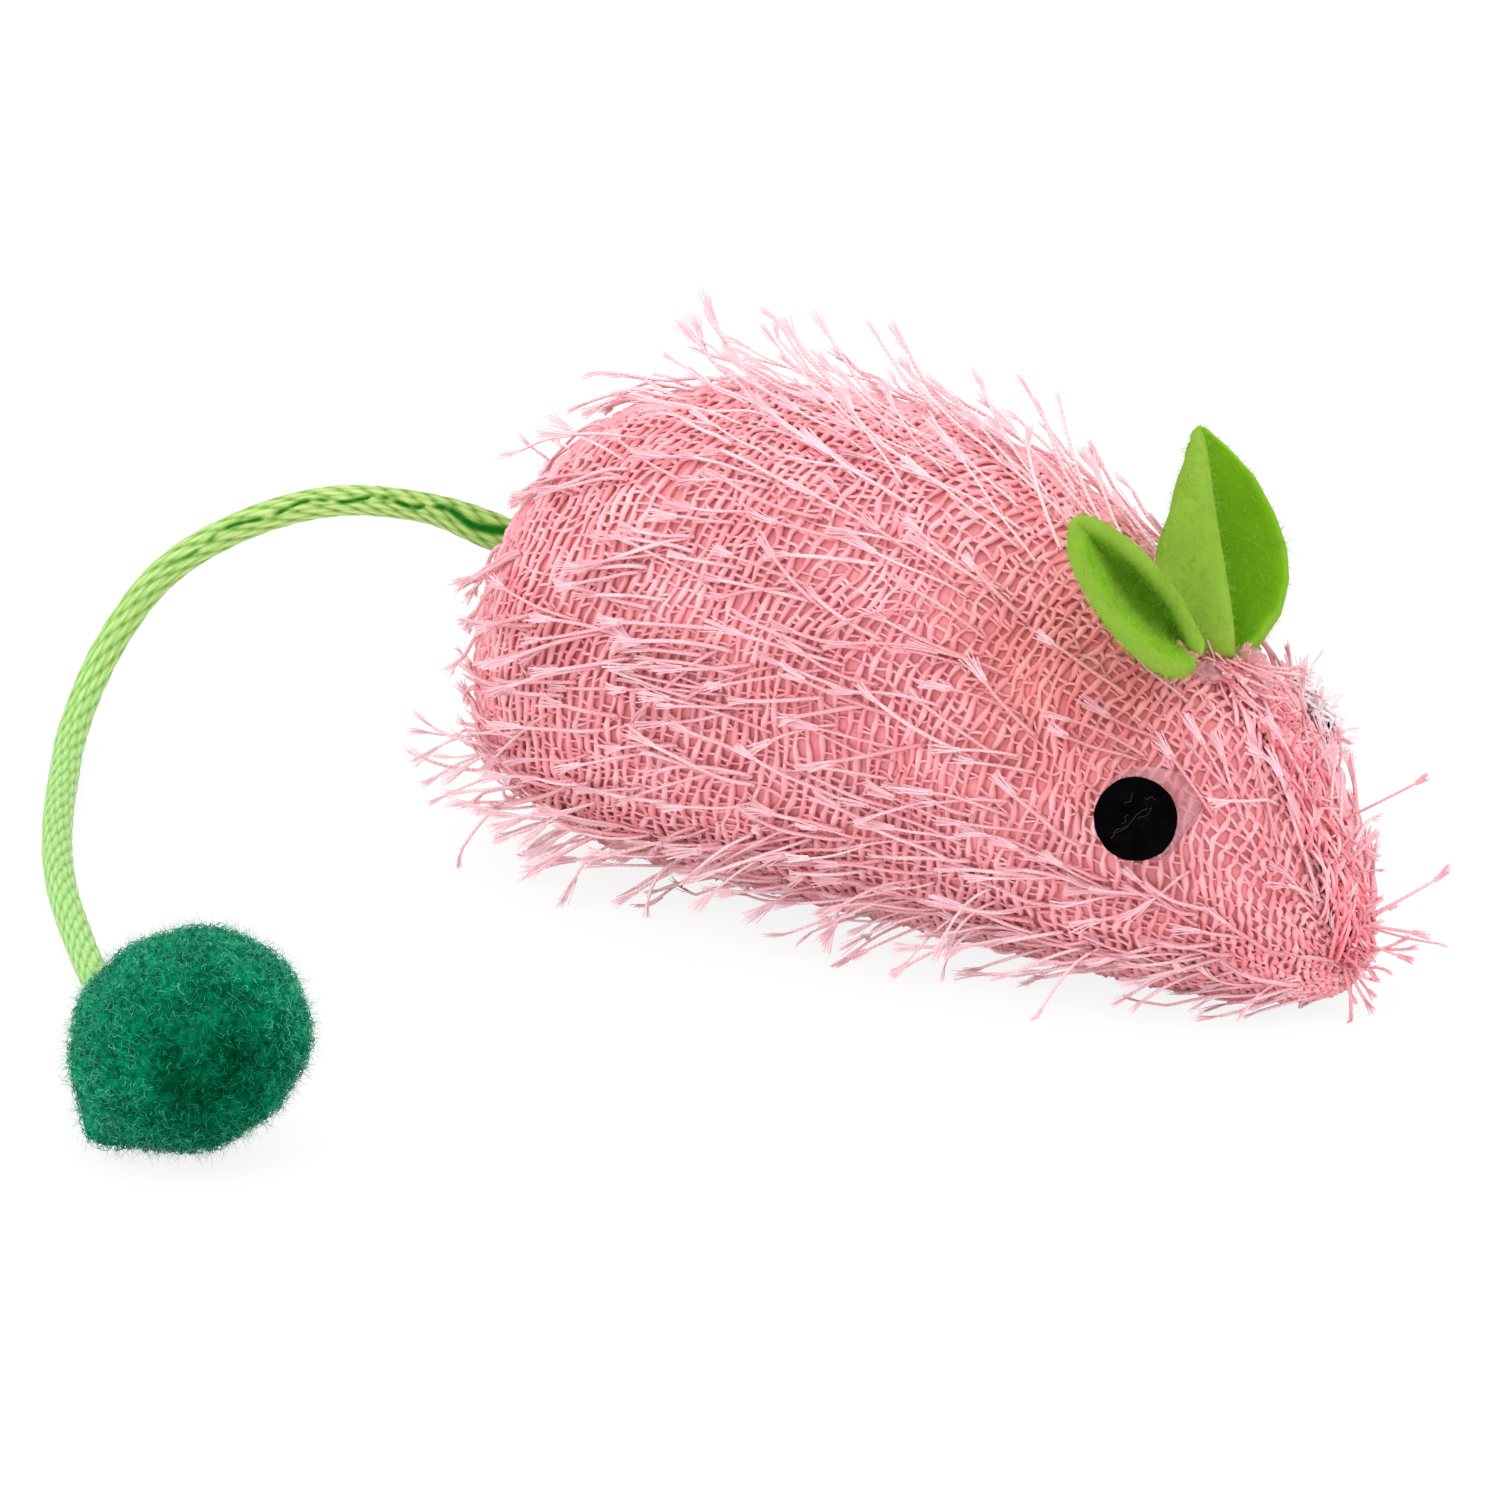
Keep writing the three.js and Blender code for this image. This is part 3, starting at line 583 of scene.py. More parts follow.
# Each lamp's place and size in metres, and its power in watts
LAMPS = {"key": ((-0.25, -0.75, 0.85), 0.8, 2.4), "fill": ((0.75, -0.45, 0.55), 0.9, 0.5),
         "top": ((0.0, 0.25, 0.95), 1.0, 1.3)}


def seen_rays(stuff):
    """1 for the rays that show the background: the camera's, and those off gloss or through glass."""
    ray = stuff.add("LightPath", {}).outputs
    shown = stuff.maths("MAXIMUM", ray["Is Camera Ray"], ray["Is Glossy Ray"])
    return stuff.maths("MAXIMUM", shown, ray["Is Transmission Ray"])


def show_mixed(stuff, output, factor, first, second):
    """Shows one shader or the other, by a factor from 0 to 1."""
    mixed = stuff.add("MixShader", {0: factor, 1: first.outputs[0], 2: second.outputs[0]})
    stuff.put(stuff.tree.nodes[output].inputs["Surface"], mixed.outputs[0])


def add_stage():
    bpy.ops.mesh.primitive_plane_add(size=1.6, location=(0, 0, 0))
    floor = bpy.context.object
    floor.name = "floor"
    stuff = new_stuff("floor")
    floor.data.materials.append(stuff.finish(FLOOR_COLOUR, 0.9, 0.1))
    glow = stuff.add("Emission", {"Strength": 1.0})
    seen = stuff.times(seen_rays(stuff), FLOOR_GLOW)
    show_mixed(stuff, "Material Output", seen, stuff.shader, glow)

    stuff = Stuff(bpy.data.worlds.new("studio"))
    bpy.context.scene.world = stuff.holder
    light = stuff.tree.nodes["Background"]
    stuff.put(light.inputs["Color"], WHITE)
    stuff.put(light.inputs["Strength"], DAYLIGHT)
    backdrop = stuff.add("Background", {"Strength": 1.0})
    show_mixed(stuff, "World Output", seen_rays(stuff), light, backdrop)


def add_lamp(name, place, size, power):
    data = bpy.data.lights.new(name, "AREA")
    data.size = size
    data.energy = power
    lamp = bpy.data.objects.new(name, data)
    bpy.context.collection.objects.link(lamp)
    lamp.location = place
    lamp.rotation_mode = "QUATERNION"
    lamp.rotation_quaternion = (Vector(place) - Vector((0, 0, 0.015))).to_track_quat("Z", "Y")


# Cover: net of bars that run round the body, with short links between neighbours
BAR_PITCH = 1.02
BAR_STEPS = 200
BAR_RADIUS = 0.27
BAR_INSET = 0.22
LINK_PITCH = 0.86
LINK_RADIUS = 0.175
LINK_STEPS = 4
PLY_PITCH = 0.46
# Painted shade in the grooves between a thread's plies
PLY_GROOVE_SHADE = (0.93, 0.87, 0.88, 1)
CLOTH_ROWS = 90
CLOTH_COLUMNS = 128
CLOTH_INSET = 0.5
# How far the bars lean with height, follow the cloth's folds and wobble by themselves
LEAN = 0.2
PULL = 0.16
WOBBLE = 0.075
FOLDS = 10
WAVES = 5
WAVE_COUNTS = (14, 46)
MOST_BARS = 400

net_draws = np.random.default_rng(SEEDS["net"])
wave_count = net_draws.uniform(*WAVE_COUNTS, (MOST_BARS, WAVES)).round()
wave_phase = net_draws.uniform(0, TURN, (MOST_BARS, WAVES))
fold_count = net_draws.integers(2, 9, FOLDS)
fold_rate = net_draws.uniform(-60, 60, FOLDS)
fold_phase = net_draws.uniform(0, TURN, FOLDS)


def smooth_step(low, high, value):
    """0 at the low limit and 1 at the high one, which may be the smaller number."""
    t = np.clip((value - low) / (high - low), 0, 1)
    return t * t * (3 - 2 * t)


def even_turns(pitch):
    """Turns that stand an even pitch apart along the body's near side."""
    turns = np.linspace(0.01, 0.99, 2000)
    line = body_point(turns, 0.8 * np.pi)
    reached = np.concatenate([[0], np.cumsum(np.linalg.norm(np.diff(line, axis=0), axis=1))])
    return np.interp(np.arange(0, reached[-1], pitch), reached, turns)


bar_turns = even_turns(BAR_PITCH)


def bar_turn(index, angle):
    """Where a bar lies at an angle: it leans, follows the cloth's pull and wobbles by itself."""
    base = bar_turns[index]
    start = body_point(base, angle)
    lean = LEAN * smooth_step(0.05, 0.2, base) * (1 - smooth_step(0.6, 0.86, base))
    shift = lean * (start[..., 2] - HEIGHT / 2)
    pull = np.zeros_like(shift)
    for count, rate, phase in zip(fold_count, fold_rate, fold_phase):
        pull = pull + np.sin(count * angle + rate * base + phase)
    wobble = np.sin(wave_count[index] * angle[..., None] + wave_phase[index]).sum(-1)
    room = np.sin(np.pi * base)
    x = start[..., 0] + shift + (PULL * pull + WOBBLE * wobble) * room
    edge = HALF_LENGTH * np.cos(np.pi * 0.008)
    return turn_at(np.clip(x, -edge, edge))


def plies(stuff, pitch):
    """Stripes that wind round a thread once every pitch in mm, from 0 in the groove to 1 on the ply."""
    wound = stuff.times(stuff.attribute("run"), TURN / pitch)
    first = stuff.times(stuff.maths("SINE", wound), stuff.attribute("side_x"))
    second = stuff.times(stuff.maths("COSINE", wound), stuff.attribute("side_y"))
    return stuff.times(stuff.maths("ADD", stuff.maths("ADD", first, second), 1.0), 0.5)


def thread_material(name, *colours, roughness=0.6, ply=0.0):
    """Yarn whose colour varies from thread to thread and along each; given a ply's pitch, it has twisted
    plies, with painted shade in their grooves and bumps.
    """
    stuff = new_stuff(name)
    tone = stuff.maths("ADD", stuff.attribute("tone"), stuff.times(stuff.noise(110, 2), 0.8))
    tone = stuff.maths("ADD", stuff.times(stuff.noise(700), 0.7), stuff.maths("SUBTRACT", tone, 0.75))
    places = (0.0, 0.5, 1.0) if len(colours) == 3 else (0.0, 0.4, 0.8, 1.0)
    # Painted shade on the shoulder under the near ear and on the near cheek
    colour = with_painted_shade(stuff, stuff.ramp(tone, *zip(places, colours)))
    if ply:
        stripes = plies(stuff, ply)
        # The ply grooves are painted in shade.
        colour = stuff.tinted(colour, stuff.ramp(stripes, (0.0, PLY_GROOVE_SHADE), (0.45, WHITE)))
        stuff.bump(stripes, 0.6, 0.1)
    else:
        stuff.bump(stuff.noise(4200, 2), 0.5, 0.06)
    return stuff.finish(colour, roughness)


def add_bars(yarn):
    """The net's bars, each a closed ring. Gives their middle lines."""
    count = len(bar_turns)
    index = np.arange(count)[:, None]
    angle = np.broadcast_to(np.linspace(0, TURN, BAR_STEPS, endpoint=False), (count, BAR_STEPS))
    turn = bar_turn(index, angle)
    ripple = 0.07 * np.sin(wave_count[index, 0] * 1.7 * angle + wave_phase[index, 1])
    centre = body_point(turn, angle, BAR_INSET) + body_normal(turn, angle) * ripple[..., None]
    thick = BAR_RADIUS * (1 + 0.35 * np.sin(wave_count[index, 2] * 1.3 * angle + wave_phase[index, 3]))
    kept_above(centre, thick)
    tone = 0.5 + 0.35 * np.sin(wave_count[index, 4] * 0.4 * angle + wave_phase[index, 2])
    # A tube's last step joins its first.
    paths, radii, tone = (np.concatenate([part, part[:, :1]], axis=1) for part in (centre, thick, tone))
    add_piece("knit_bars", tubes(paths, radii, 4, tone=tone), yarn, replaced=("knit_cover",))
    return centre


def add_links(yarn, bars):
    """Short strands from each bar to the next, a few of them missing."""
    starts = []
    for i in range(len(bars) - 1):
        girth = np.linalg.norm(np.diff(bars[i], axis=0), axis=1).sum()
        number = max(int(girth / LINK_PITCH), 3)
        place = (np.arange(number) + 0.5 * (i % 2) + net_draws.uniform(-0.28, 0.28, number)) / number
        kept = place[net_draws.random(number) > 0.1] * TURN
        starts.append(np.stack([np.full(len(kept), i), kept, np.full(len(kept), TURN / number)], axis=-1))
    starts = np.concatenate(starts)
    number = len(starts)
    lower = starts[:, 0].astype(int)
    from_angle = starts[:, 1]
    to_angle = from_angle + net_draws.normal(0, 0.32, number) * starts[:, 2]
    share = np.linspace(-0.1, 1.1, LINK_STEPS)
    arc = np.sin(np.pi * np.clip(share, 0, 1))
    turn_a = bar_turn(lower, from_angle)[:, None]
    turn_b = bar_turn(lower + 1, to_angle)[:, None]
    turn = turn_a * (1 - share) + turn_b * share
    sway = net_draws.normal(0, 0.18, (number, 1)) * starts[:, 2:] * arc
    angle = from_angle[:, None] * (1 - share) + to_angle[:, None] * share + sway
    arch = 0.05 * arc + net_draws.uniform(-0.09, 0.05, (number, 1))
    paths = body_point(turn, angle, BAR_INSET - 0.02) + body_normal(turn, angle) * arch[..., None]
    kept_above(paths, 1.5 * LINK_RADIUS)
    radii = LINK_RADIUS * net_draws.uniform(0.7, 1.3, (number, 1)) * np.array([1.15, 1, 1, 1.15])
    tone = net_draws.uniform(0.2, 0.95, number)
    half = number // 2
    for name, rows in (("knit_links_a", slice(0, half)), ("knit_links_b", slice(half, None))):
        add_piece(name, tubes(paths[rows], radii[rows], 3, tone=tone[rows]), yarn)


def cloth_material():
    stuff = new_stuff("dusky_cloth")
    colour = stuff.ramp(stuff.noise(120), (0.3, srgb(224, 141, 147)), (0.55, srgb(233, 153, 158)),
                        (0.75, srgb(241, 165, 169)))
    stuff.bump(stuff.noise(2600, 2), 0.6, 0.15)
    # The cloth takes the same painted shade on the shoulder and the cheek.
    return stuff.finish(with_painted_shade(stuff, colour), 0.85)


def add_cloth():
    turn = np.linspace(0.004, 0.996, CLOTH_ROWS)[:, None]
    angle = np.linspace(0, TURN, CLOTH_COLUMNS, endpoint=False)[None]
    swell = 0.12 * np.sin(9 * angle + 31 * turn) * np.sin(47 * turn)
    rings = body_point(turn, angle, CLOTH_INSET) + body_normal(turn, angle) * swell[..., None]
    stuff = cloth_material()
    cloth = add_piece("body_cloth", shell(rings), stuff, "mouse", ("backing_cloth",))


# Ears: the part's own folded leaves, with rounded felt edges
FELT_THICKNESS = 1.5
EAR_LENGTH = 17.6
EAR_WIDTH = 9.8
EAR_FOLD_RADIUS = 1.0
EAR_FOOT_RADIUS = 1.9
EAR_PLACE_SHARE = 0.738
EAR_SPREADS = {"right": -1.7, "left": 2.9}
EAR_DIRECTION_SHARES = {"right": (-0.22, -0.58, 0.78), "left": (-0.47, 0.42, 0.77)}
EAR_OPENING_SHARES = {"right": (0.8, -0.6, 0.06), "left": (0.8, 0.6, 0.06)}
EAR_HEIGHT_SHARES = [0, 0.1, 0.22, 0.36, 0.5, 0.64, 0.78, 0.9, 0.98]
FOLD_REACH_SHARES = {
    "right": [-0.13, -0.27, -0.4, -0.47, -0.44, -0.34, -0.23, -0.14, -0.06],
    "left": [-0.13, -0.27, -0.4, -0.46, -0.39, -0.33, -0.29, -0.2, -0.06]}
OUTER_REACH_SHARES = {
    "right": [0.363, 0.554, 0.646, 0.678, 0.69, 0.615, 0.54, 0.354, 0.184],
    "left": [0.09, 0.3, 0.46, 0.53, 0.535, 0.48, 0.37, 0.2, 0.045]}
OUTER_SPREAD_SHARES = {
    "right": [-0.04, -0.142, -0.232, -0.293, -0.318, -0.322, -0.3, -0.253, -0.156],
    "left": [-0.08, -0.2, -0.34, -0.41, -0.42, -0.37, -0.28, -0.16, -0.03]}
INNER_REACH_SHARES = {
    "right": [0.29, 0.12, 0.07, 0.06, 0.05, 0.04, 0.03, 0.02, 0.02],
    "left": [0.05, 0.07, 0.07, 0.06, 0.05, 0.04, 0.03, 0.02, 0.02]}
INNER_SPREAD_SHARES = {
    "right": [0.065, 0.14, 0.19, 0.2, 0.2, 0.19, 0.17, 0.12, 0.06],
    "left": [0.08, 0.14, 0.19, 0.2, 0.2, 0.19, 0.16, 0.1, 0.03]}
EAR_ROWS = 26
EAR_COLUMNS = 18
EAR_HAIRS = 5200
HAIR_STEPS = 3
# Every nap has a length, a radius, a lean and a curl.
EAR_NAP = (0.5, 0.013, 0.9, 0.5)
# How deep each ear's fold lies, as a share of the table
EAR_FOLD_DEPTHS = {"right": 0.72, "left": 1.0}
# How far each ear's foot reaches down, its shift in the picture's plane, how wide it opens and its length
EAR_FITS = {"right": (-0.9, (-1.5, -0.4), 1.0, 0.95), "left": (2.4, (-1.2, -0.2), 1.08, 1.0)}
# How much a fold draws in near each ear's tip
EAR_PINCHES = {"right": 0.0, "left": 0.78}


def ear_frame(side):
    outward = -1 if side == "right" else 1
    seat = body_point(EAR_PLACE_SHARE, np.pi / 2)
    foot = np.array([seat[0], EAR_SPREADS[side], seat[2] + EAR_FOOT_RADIUS])
    direction = unit(np.array(EAR_DIRECTION_SHARES[side]))
    opening = np.array(EAR_OPENING_SHARES[side])
    opening = unit(opening - opening.dot(direction) * direction)
    return foot, direction, opening, outward * np.cross(opening, direction)


def felt_material():
    stuff = new_stuff("lime_felt")
    # The face in the fold's hollow is painted in shade, darker and deeper green than the outer face.
    face = stuff.ramp(stuff.attribute("painted_hollow_shade"), (0.0, srgb(130, 164, 58)), (0.5, srgb(118, 168, 32)),
                      (1.0, srgb(90, 140, 18)))
    mottle = stuff.ramp(stuff.noise(190, 4), (0.3, (0.84, 0.9, 0.8, 1)), (0.7, (1.08, 1.06, 1.1, 1)))
    stuff.bump(stuff.noise(1900, 4), 0.5, 0.12)
    return stuff.finish(stuff.tinted(face, mottle), 0.95, 0.0)


def rounded_sheet(grid, thickness, tip_taper, front_inside):
    """A closed sheet about a grid of points whose thickness runs out round its rims, and thins to its tip.

    Its value "painted_hollow_shade" is 0 on the outer face and rises from the rims on the face in the fold's
    hollow, to 1 on a back face and to half that on a front face: painted shade in the hollow.
    """
    rows, columns, _ = grid.shape
    half = thickness / 2

    def to_rim(axis):
        steps = np.linalg.norm(np.diff(grid, axis=axis), axis=-1)
        start = np.zeros_like(np.take(steps, [0], axis))
        reached = np.concatenate([start, np.cumsum(steps, axis=axis)], axis=axis)
        return np.minimum(reached, np.take(reached, [-1], axis) - reached)

    def fullness(distance):
        return np.sqrt(np.clip(1 - (1 - np.minimum(distance / half, 1)) ** 2, 0, 1))

    up, over = to_rim(0), to_rim(1)
    tip = np.linspace(1, 0, rows)[:, None]
    depth = half * fullness(up) * fullness(over) * (1 - tip_taper * smooth_step(0.3, 0, tip))
    side = unit(np.cross(np.gradient(grid, axis=1), np.gradient(grid, axis=0)))
    middle = np.zeros((rows, columns), dtype=bool)
    middle[1:-1, 1:-1] = True
    front_index = np.arange(rows * columns).reshape(rows, columns)
    back_index = front_index.copy()
    back_index[middle] = rows * columns + np.arange(middle.sum())
    front = grid + side * depth[..., None]
    back = grid - side * depth[..., None]
    inner = np.clip(np.minimum(up, over) / half - 0.2, 0, 1)
    on_front, on_back = (0.5 * inner, 0 * inner) if front_inside else (0 * inner, inner)
    quads = grid_faces(rows, columns, False)
    faces = [front_index.ravel()[quads], back_index.ravel()[quads][:, ::-1]]
    values = {"painted_hollow_shade": np.concatenate([on_front.ravel(), on_back[middle]])}
    return np.concatenate([front.reshape(-1, 3), back[middle]]), faces, values


def crowded(length, thickness, count):
    """Places along a length that crowd towards its ends, where the sheet's rim turns."""
    rim = np.array([0, 0.02, 0.08, 0.18, 0.34, 0.58]) * thickness / 2
    inner = np.linspace(thickness / 2, length - thickness / 2, count)
    return np.concatenate([rim, inner, length - rim[::-1]])


def mesh_arrays(piece):
    count = len(piece.data.vertices)
    points = np.empty(count * 3, dtype=np.float32)
    normals = np.empty(count * 3, dtype=np.float32)
    piece.data.vertices.foreach_get("co", points)
    piece.data.vertices.foreach_get("normal", normals)
    return points.reshape(-1, 3) / MM, normals.reshape(-1, 3)


def surface_samples(piece, number, draws):
    """Random places on a mesh, evenly by area, with their normals."""
    mesh = piece.data
    mesh.calc_loop_triangles()
    triangles = np.empty(len(mesh.loop_triangles) * 3, dtype=np.int32)
    mesh.loop_triangles.foreach_get("vertices", triangles)
    triangles = triangles.reshape(-1, 3)
    points, normals = mesh_arrays(piece)
    corners = points[triangles]
    areas = np.linalg.norm(np.cross(corners[:, 1] - corners[:, 0], corners[:, 2] - corners[:, 0]), axis=-1)
    chosen = draws.choice(len(triangles), number, p=areas / areas.sum())
    weights = draws.dirichlet((1, 1, 1), number)[..., None]
    return (corners[chosen] * weights).sum(1), unit((normals[triangles[chosen]] * weights).sum(1))


def hairs(roots, normals, length, radius, lie, curl, draws):
    """Short hairs that stand on a surface: lie is how far they lean over, curl how they bend."""
    number = len(roots)
    lean = unit(square_to(normals, draws.normal(0, 1, (number, 3))))
    bend = draws.normal(0, 1, (number, 3))
    share = np.linspace(0, 1, HAIR_STEPS)[None, :, None]
    reach = length * draws.uniform(0.5, 1.3, (number, 1, 1))
    heading = unit(normals + lie * lean)[:, None]
    paths = roots[:, None] + reach * (share * heading + curl * share**2 * bend[:, None])
    radii = radius * draws.uniform(0.7, 1.3, (number, 1)) * np.linspace(1, 0.35, HAIR_STEPS)[None]
    return tubes(paths, radii, 3)


def add_ear(side, felt, nap_material):
    foot, direction, opening, inward = ear_frame(side)
    tables = {"fold": FOLD_REACH_SHARES, "outer": OUTER_REACH_SHARES, "outer_spread": OUTER_SPREAD_SHARES,
              "inner": INNER_REACH_SHARES, "inner_spread": INNER_SPREAD_SHARES}
    drop, shift, open_out, stretch = EAR_FITS[side]
    foot_seen = foot + VIEW_RIGHT * shift[0] + VIEW_UP * shift[1]
    tall = EAR_HEIGHT_SHARES[-1] * EAR_LENGTH * stretch + drop
    pinch = EAR_PINCHES[side]
    rows = []
    for rise in crowded(tall, FELT_THICKNESS, EAR_ROWS):
        share = EAR_HEIGHT_SHARES[-1] * rise / tall
        at = {key: np.interp(share, EAR_HEIGHT_SHARES, table[side]) * EAR_WIDTH
              for key, table in tables.items()}
        at["fold"] *= EAR_FOLD_DEPTHS[side] * (1 - pinch * smooth_step(0.45, 1.0, share))
        wide = 1 + (open_out - 1) * smooth_step(0.1, 0.5, share)
        bend = EAR_FOLD_RADIUS * (1 - 1.15 * pinch * smooth_step(0.5, 1.0, share))
        bend *= np.minimum(1 / EAR_FOLD_DEPTHS[side], 0.25 + np.abs(at["fold"]) / 2.5)
        section = [(at["outer"] * wide, at["outer_spread"] * wide), (at["fold"] + bend, -bend),
                   (at["fold"], 0), (at["fold"] + bend, bend), (at["inner"], at["inner_spread"])]
        line, reached = route_curve([(*place, 0) for place in section], 0.05)
        wanted = crowded(reached[-1], min(FELT_THICKNESS, reached[-1] * 0.9), EAR_COLUMNS)
        picked = np.stack([np.interp(wanted, reached, line[:, i]) for i in (0, 1)], axis=-1)
        rows.append(foot_seen + direction * (rise - drop) + picked[:, :1] * opening + picked[:, 1:] * inward)
    leaf = rounded_sheet(np.array(rows), FELT_THICKNESS, pinch, side == "right")
    ear = add_piece(f"felt_ear_{side}", leaf, felt, f"ear_{side}", (f"ear_{side}",))

    draws = np.random.default_rng(SEEDS[f"ear_{side}"])
    roots, up = surface_samples(ear, EAR_HAIRS, draws)
    nap = hairs(roots, up, *EAR_NAP, draws)
    add_piece(f"ear_nap_{side}", nap, nap_material, f"ear_{side}", smooth=False)


# Eyes
EYE_RADIUS = 3.35
EYE_THICKNESS = 0.8
EYE_PLACE_SHARES = {"right": 0.742, "left": 0.728}
EYE_RAISE_SHARE = 0.23
EYE_STAND = 1.05
EYE_SIDES = 72
EYE_HAIRS = 900
EYE_NAP = (0.16, 0.016, 1.2, 0.3)
# The disc's edge, from the middle of its back to the middle of its face, in radii and thicknesses
EYE_PROFILE = [(0.0, 0.02), (0.6, 0), (0.94, 0.01), (0.99, 0.12), (1.0, 0.4), (0.99, 0.78), (0.955, 0.95),
               (0.88, 1.0), (0.6, 1.02), (0.3, 1.03), (0.0, 1.03)]
LINT_FIBRES = 6
LINT_RADIUS = 0.01
# The glue's outline about the right eye
GLUE_CORNERS = np.array([(-3.0, -2.0), (1.8, -3.2), (3.3, -1.2), (4.3, 0.6), (4.5, 2.8), (2.9, 4.3),
                         (0.6, 4.5), (-1.6, 3.9), (-3.2, 1.6)])
GLUE_FLAT_RADIUS = 3.0
GLUE_LIFT = 0.25
# The glue's rings: their shares of that outline and their heights off the eye's seat
GLUE_RINGS = [(0.45, -0.2), (0.85, -0.28), (1.0, -0.42), (0.98, -0.65)]


def eye_frame(side):
    raised = EYE_RAISE_SHARE * np.pi / 2
    angle = np.pi - raised if side == "right" else raised
    normal = body_normal(EYE_PLACE_SHARES[side], angle)
    seat = body_point(EYE_PLACE_SHARES[side], angle) + normal * EYE_STAND
    across = unit(np.cross(normal, [0, 0, 1]))
    return seat, normal, across, np.cross(across, normal)


def black_felt_material():
    stuff = new_stuff("black_felt")
    stuff.bump(stuff.noise(5200), 0.6, 0.08)
    colour = stuff.ramp(stuff.noise(900, 4), (0.35, srgb(3, 1, 2)), (0.8, srgb(10, 8, 10)))
    return stuff.finish(colour, 0.95, 0.02)


def glue_material():
    stuff = new_stuff("clear_glue")
    stuff.bump(stuff.noise(700, 2), 0.4, 0.2)
    stuff.put(stuff.shader.inputs["Alpha"], 0.42)
    colour = stuff.ramp(stuff.noise(300, 2), (0.3, srgb(214, 140, 148)), (0.7, srgb(232, 178, 184)))
    return stuff.finish(colour, 0.25)


def add_eye_disc(side, felt, draws):
    seat, normal, across, above = eye_frame(side)
    around = np.arange(EYE_SIDES) * TURN / EYE_SIDES
    wave = 1 + 0.006 * np.sin(5 * around + 1) + 0.004 * np.sin(13 * around)
    outward = circled(around, across, above)
    rings = [seat + radius * EYE_RADIUS * wave[:, None] * outward + height * EYE_THICKNESS * normal
             for radius, height in EYE_PROFILE[1:-1]]
    ends = [(seat + EYE_PROFILE[i][1] * EYE_THICKNESS * normal)[None] for i in (0, -1)]
    points = np.concatenate([ends[0], *rings, ends[1]])
    walls = grid_faces(len(rings), EYE_SIDES, True)[:, ::-1] + 1
    ring = np.arange(EYE_SIDES)
    after = (ring + 1) % EYE_SIDES
    last = len(points) - 1
    foot = np.stack([ring + 1, after + 1, 0 * ring], axis=-1)
    crown = np.stack([after + last - EYE_SIDES, ring + last - EYE_SIDES, 0 * ring + last], axis=-1)
    shape = points, [walls, foot, crown], {}
    eye = add_piece(f"felt_eye_{side}", shape, felt, replaced=(f"eye_{side}",))
    roots, up = surface_samples(eye, EYE_HAIRS, draws)
    nap = hairs(roots, up, *EYE_NAP, draws)
    add_piece(f"eye_nap_{side}", nap, felt)


def add_eye_lint(side, lint, draws):
    """A few pale fibres that lie on the felt's face."""
    seat, normal, across, above = eye_frame(side)
    number = LINT_FIBRES
    spot = draws.uniform(-0.6, 0.6, (number, 2)) * EYE_RADIUS
    heading = draws.uniform(0, np.pi, number)
    heading[:3] = 0.75
    spot[:3] = [(-0.2, -0.1), (0.9, 0.5), (-1.3, -1.0)]
    length = draws.uniform(0.7, 1.7, number)
    length[0] = 3.2
    share = np.linspace(-0.5, 0.5, 7)[None]
    sway = 0.14 * np.sin(share * 7 + draws.uniform(0, TURN, (number, 1)))
    run, cos, sin = length[:, None] * share, np.cos(heading)[:, None], np.sin(heading)[:, None]
    flat_x = spot[:, :1] + run * cos - sway * sin
    flat_y = spot[:, 1:] + run * sin + sway * cos
    face = seat + normal * (EYE_THICKNESS * EYE_PROFILE[-1][1] + 0.05)
    paths = face - flat_x[..., None] * across + flat_y[..., None] * above
    fibres = tubes(paths, np.full(paths.shape[:2], LINT_RADIUS), 4)
    add_piece(f"eye_lint_{side}", fibres, lint)


def add_eye_glue(side, glue):
    """Clear glue squeezed out past the eye's rim, towards the forehead."""
    seat, normal, across, above = eye_frame(side)
    corners = GLUE_CORNERS if side == "right" else GLUE_CORNERS[::-1] * (-1, 1)
    line, _ = route_curve([(*corner, 0) for corner in np.vstack([corners, corners[:1]])], 0.4)
    outline = line[:-1]
    middle = outline.mean(axis=0)
    rings = []
    for share, height in GLUE_RINGS:
        flat = middle + (outline - middle) * share
        ring = seat - flat[:, :1] * across + flat[:, 1:2] * above + normal * height
        far = np.linalg.norm(ring - seat, axis=-1) > GLUE_FLAT_RADIUS
        rings.append(np.where(far[:, None], hug(ring, GLUE_LIFT), ring))
    ring = np.arange(len(outline))
    fan = np.stack([0 * ring, ring + 1, (ring + 1) % len(outline) + 1], axis=-1)
    points = np.concatenate([rings[0].mean(axis=0)[None], *rings])
    shape = points, [fan, grid_faces(len(rings), len(outline), True) + 1], {}
    add_piece(f"eye_glue_patch_{side}", shape, glue, replaced=(f"eye_glue_{side}",))


# Pile: twisted threads that end in soft brushes, combed towards the tail
PILE_COUNT = 900
PILE_STEPS = 16
PILE_RADIUS = 0.25
BRUSH_FIBRES = 14
BRUSH_STEPS = 3
BRUSH_LENGTH = 2.4
BRUSH_RADIUS = 0.062
BRUSH_SPREAD = 0.16
PILE_LENGTHS = (5.0, 9.6)
FRINGE_COUNT = 240
FRINGE_LENGTHS = (3.0, 6.5)
FRINGE_HEIGHTS = (0.25, 1.1)
MOST_LIFT = 4.8
# How far threads keep off the cord's first stretch, their tips off it and their picture off its picture
CORD_CLEARANCE = 3.2
TIP_CLEARANCE = 5.0
SEEN_CLEARANCE = 3.0
EYE_CLEARANCE = 0.6
EAR_CLEARANCE = 4.6


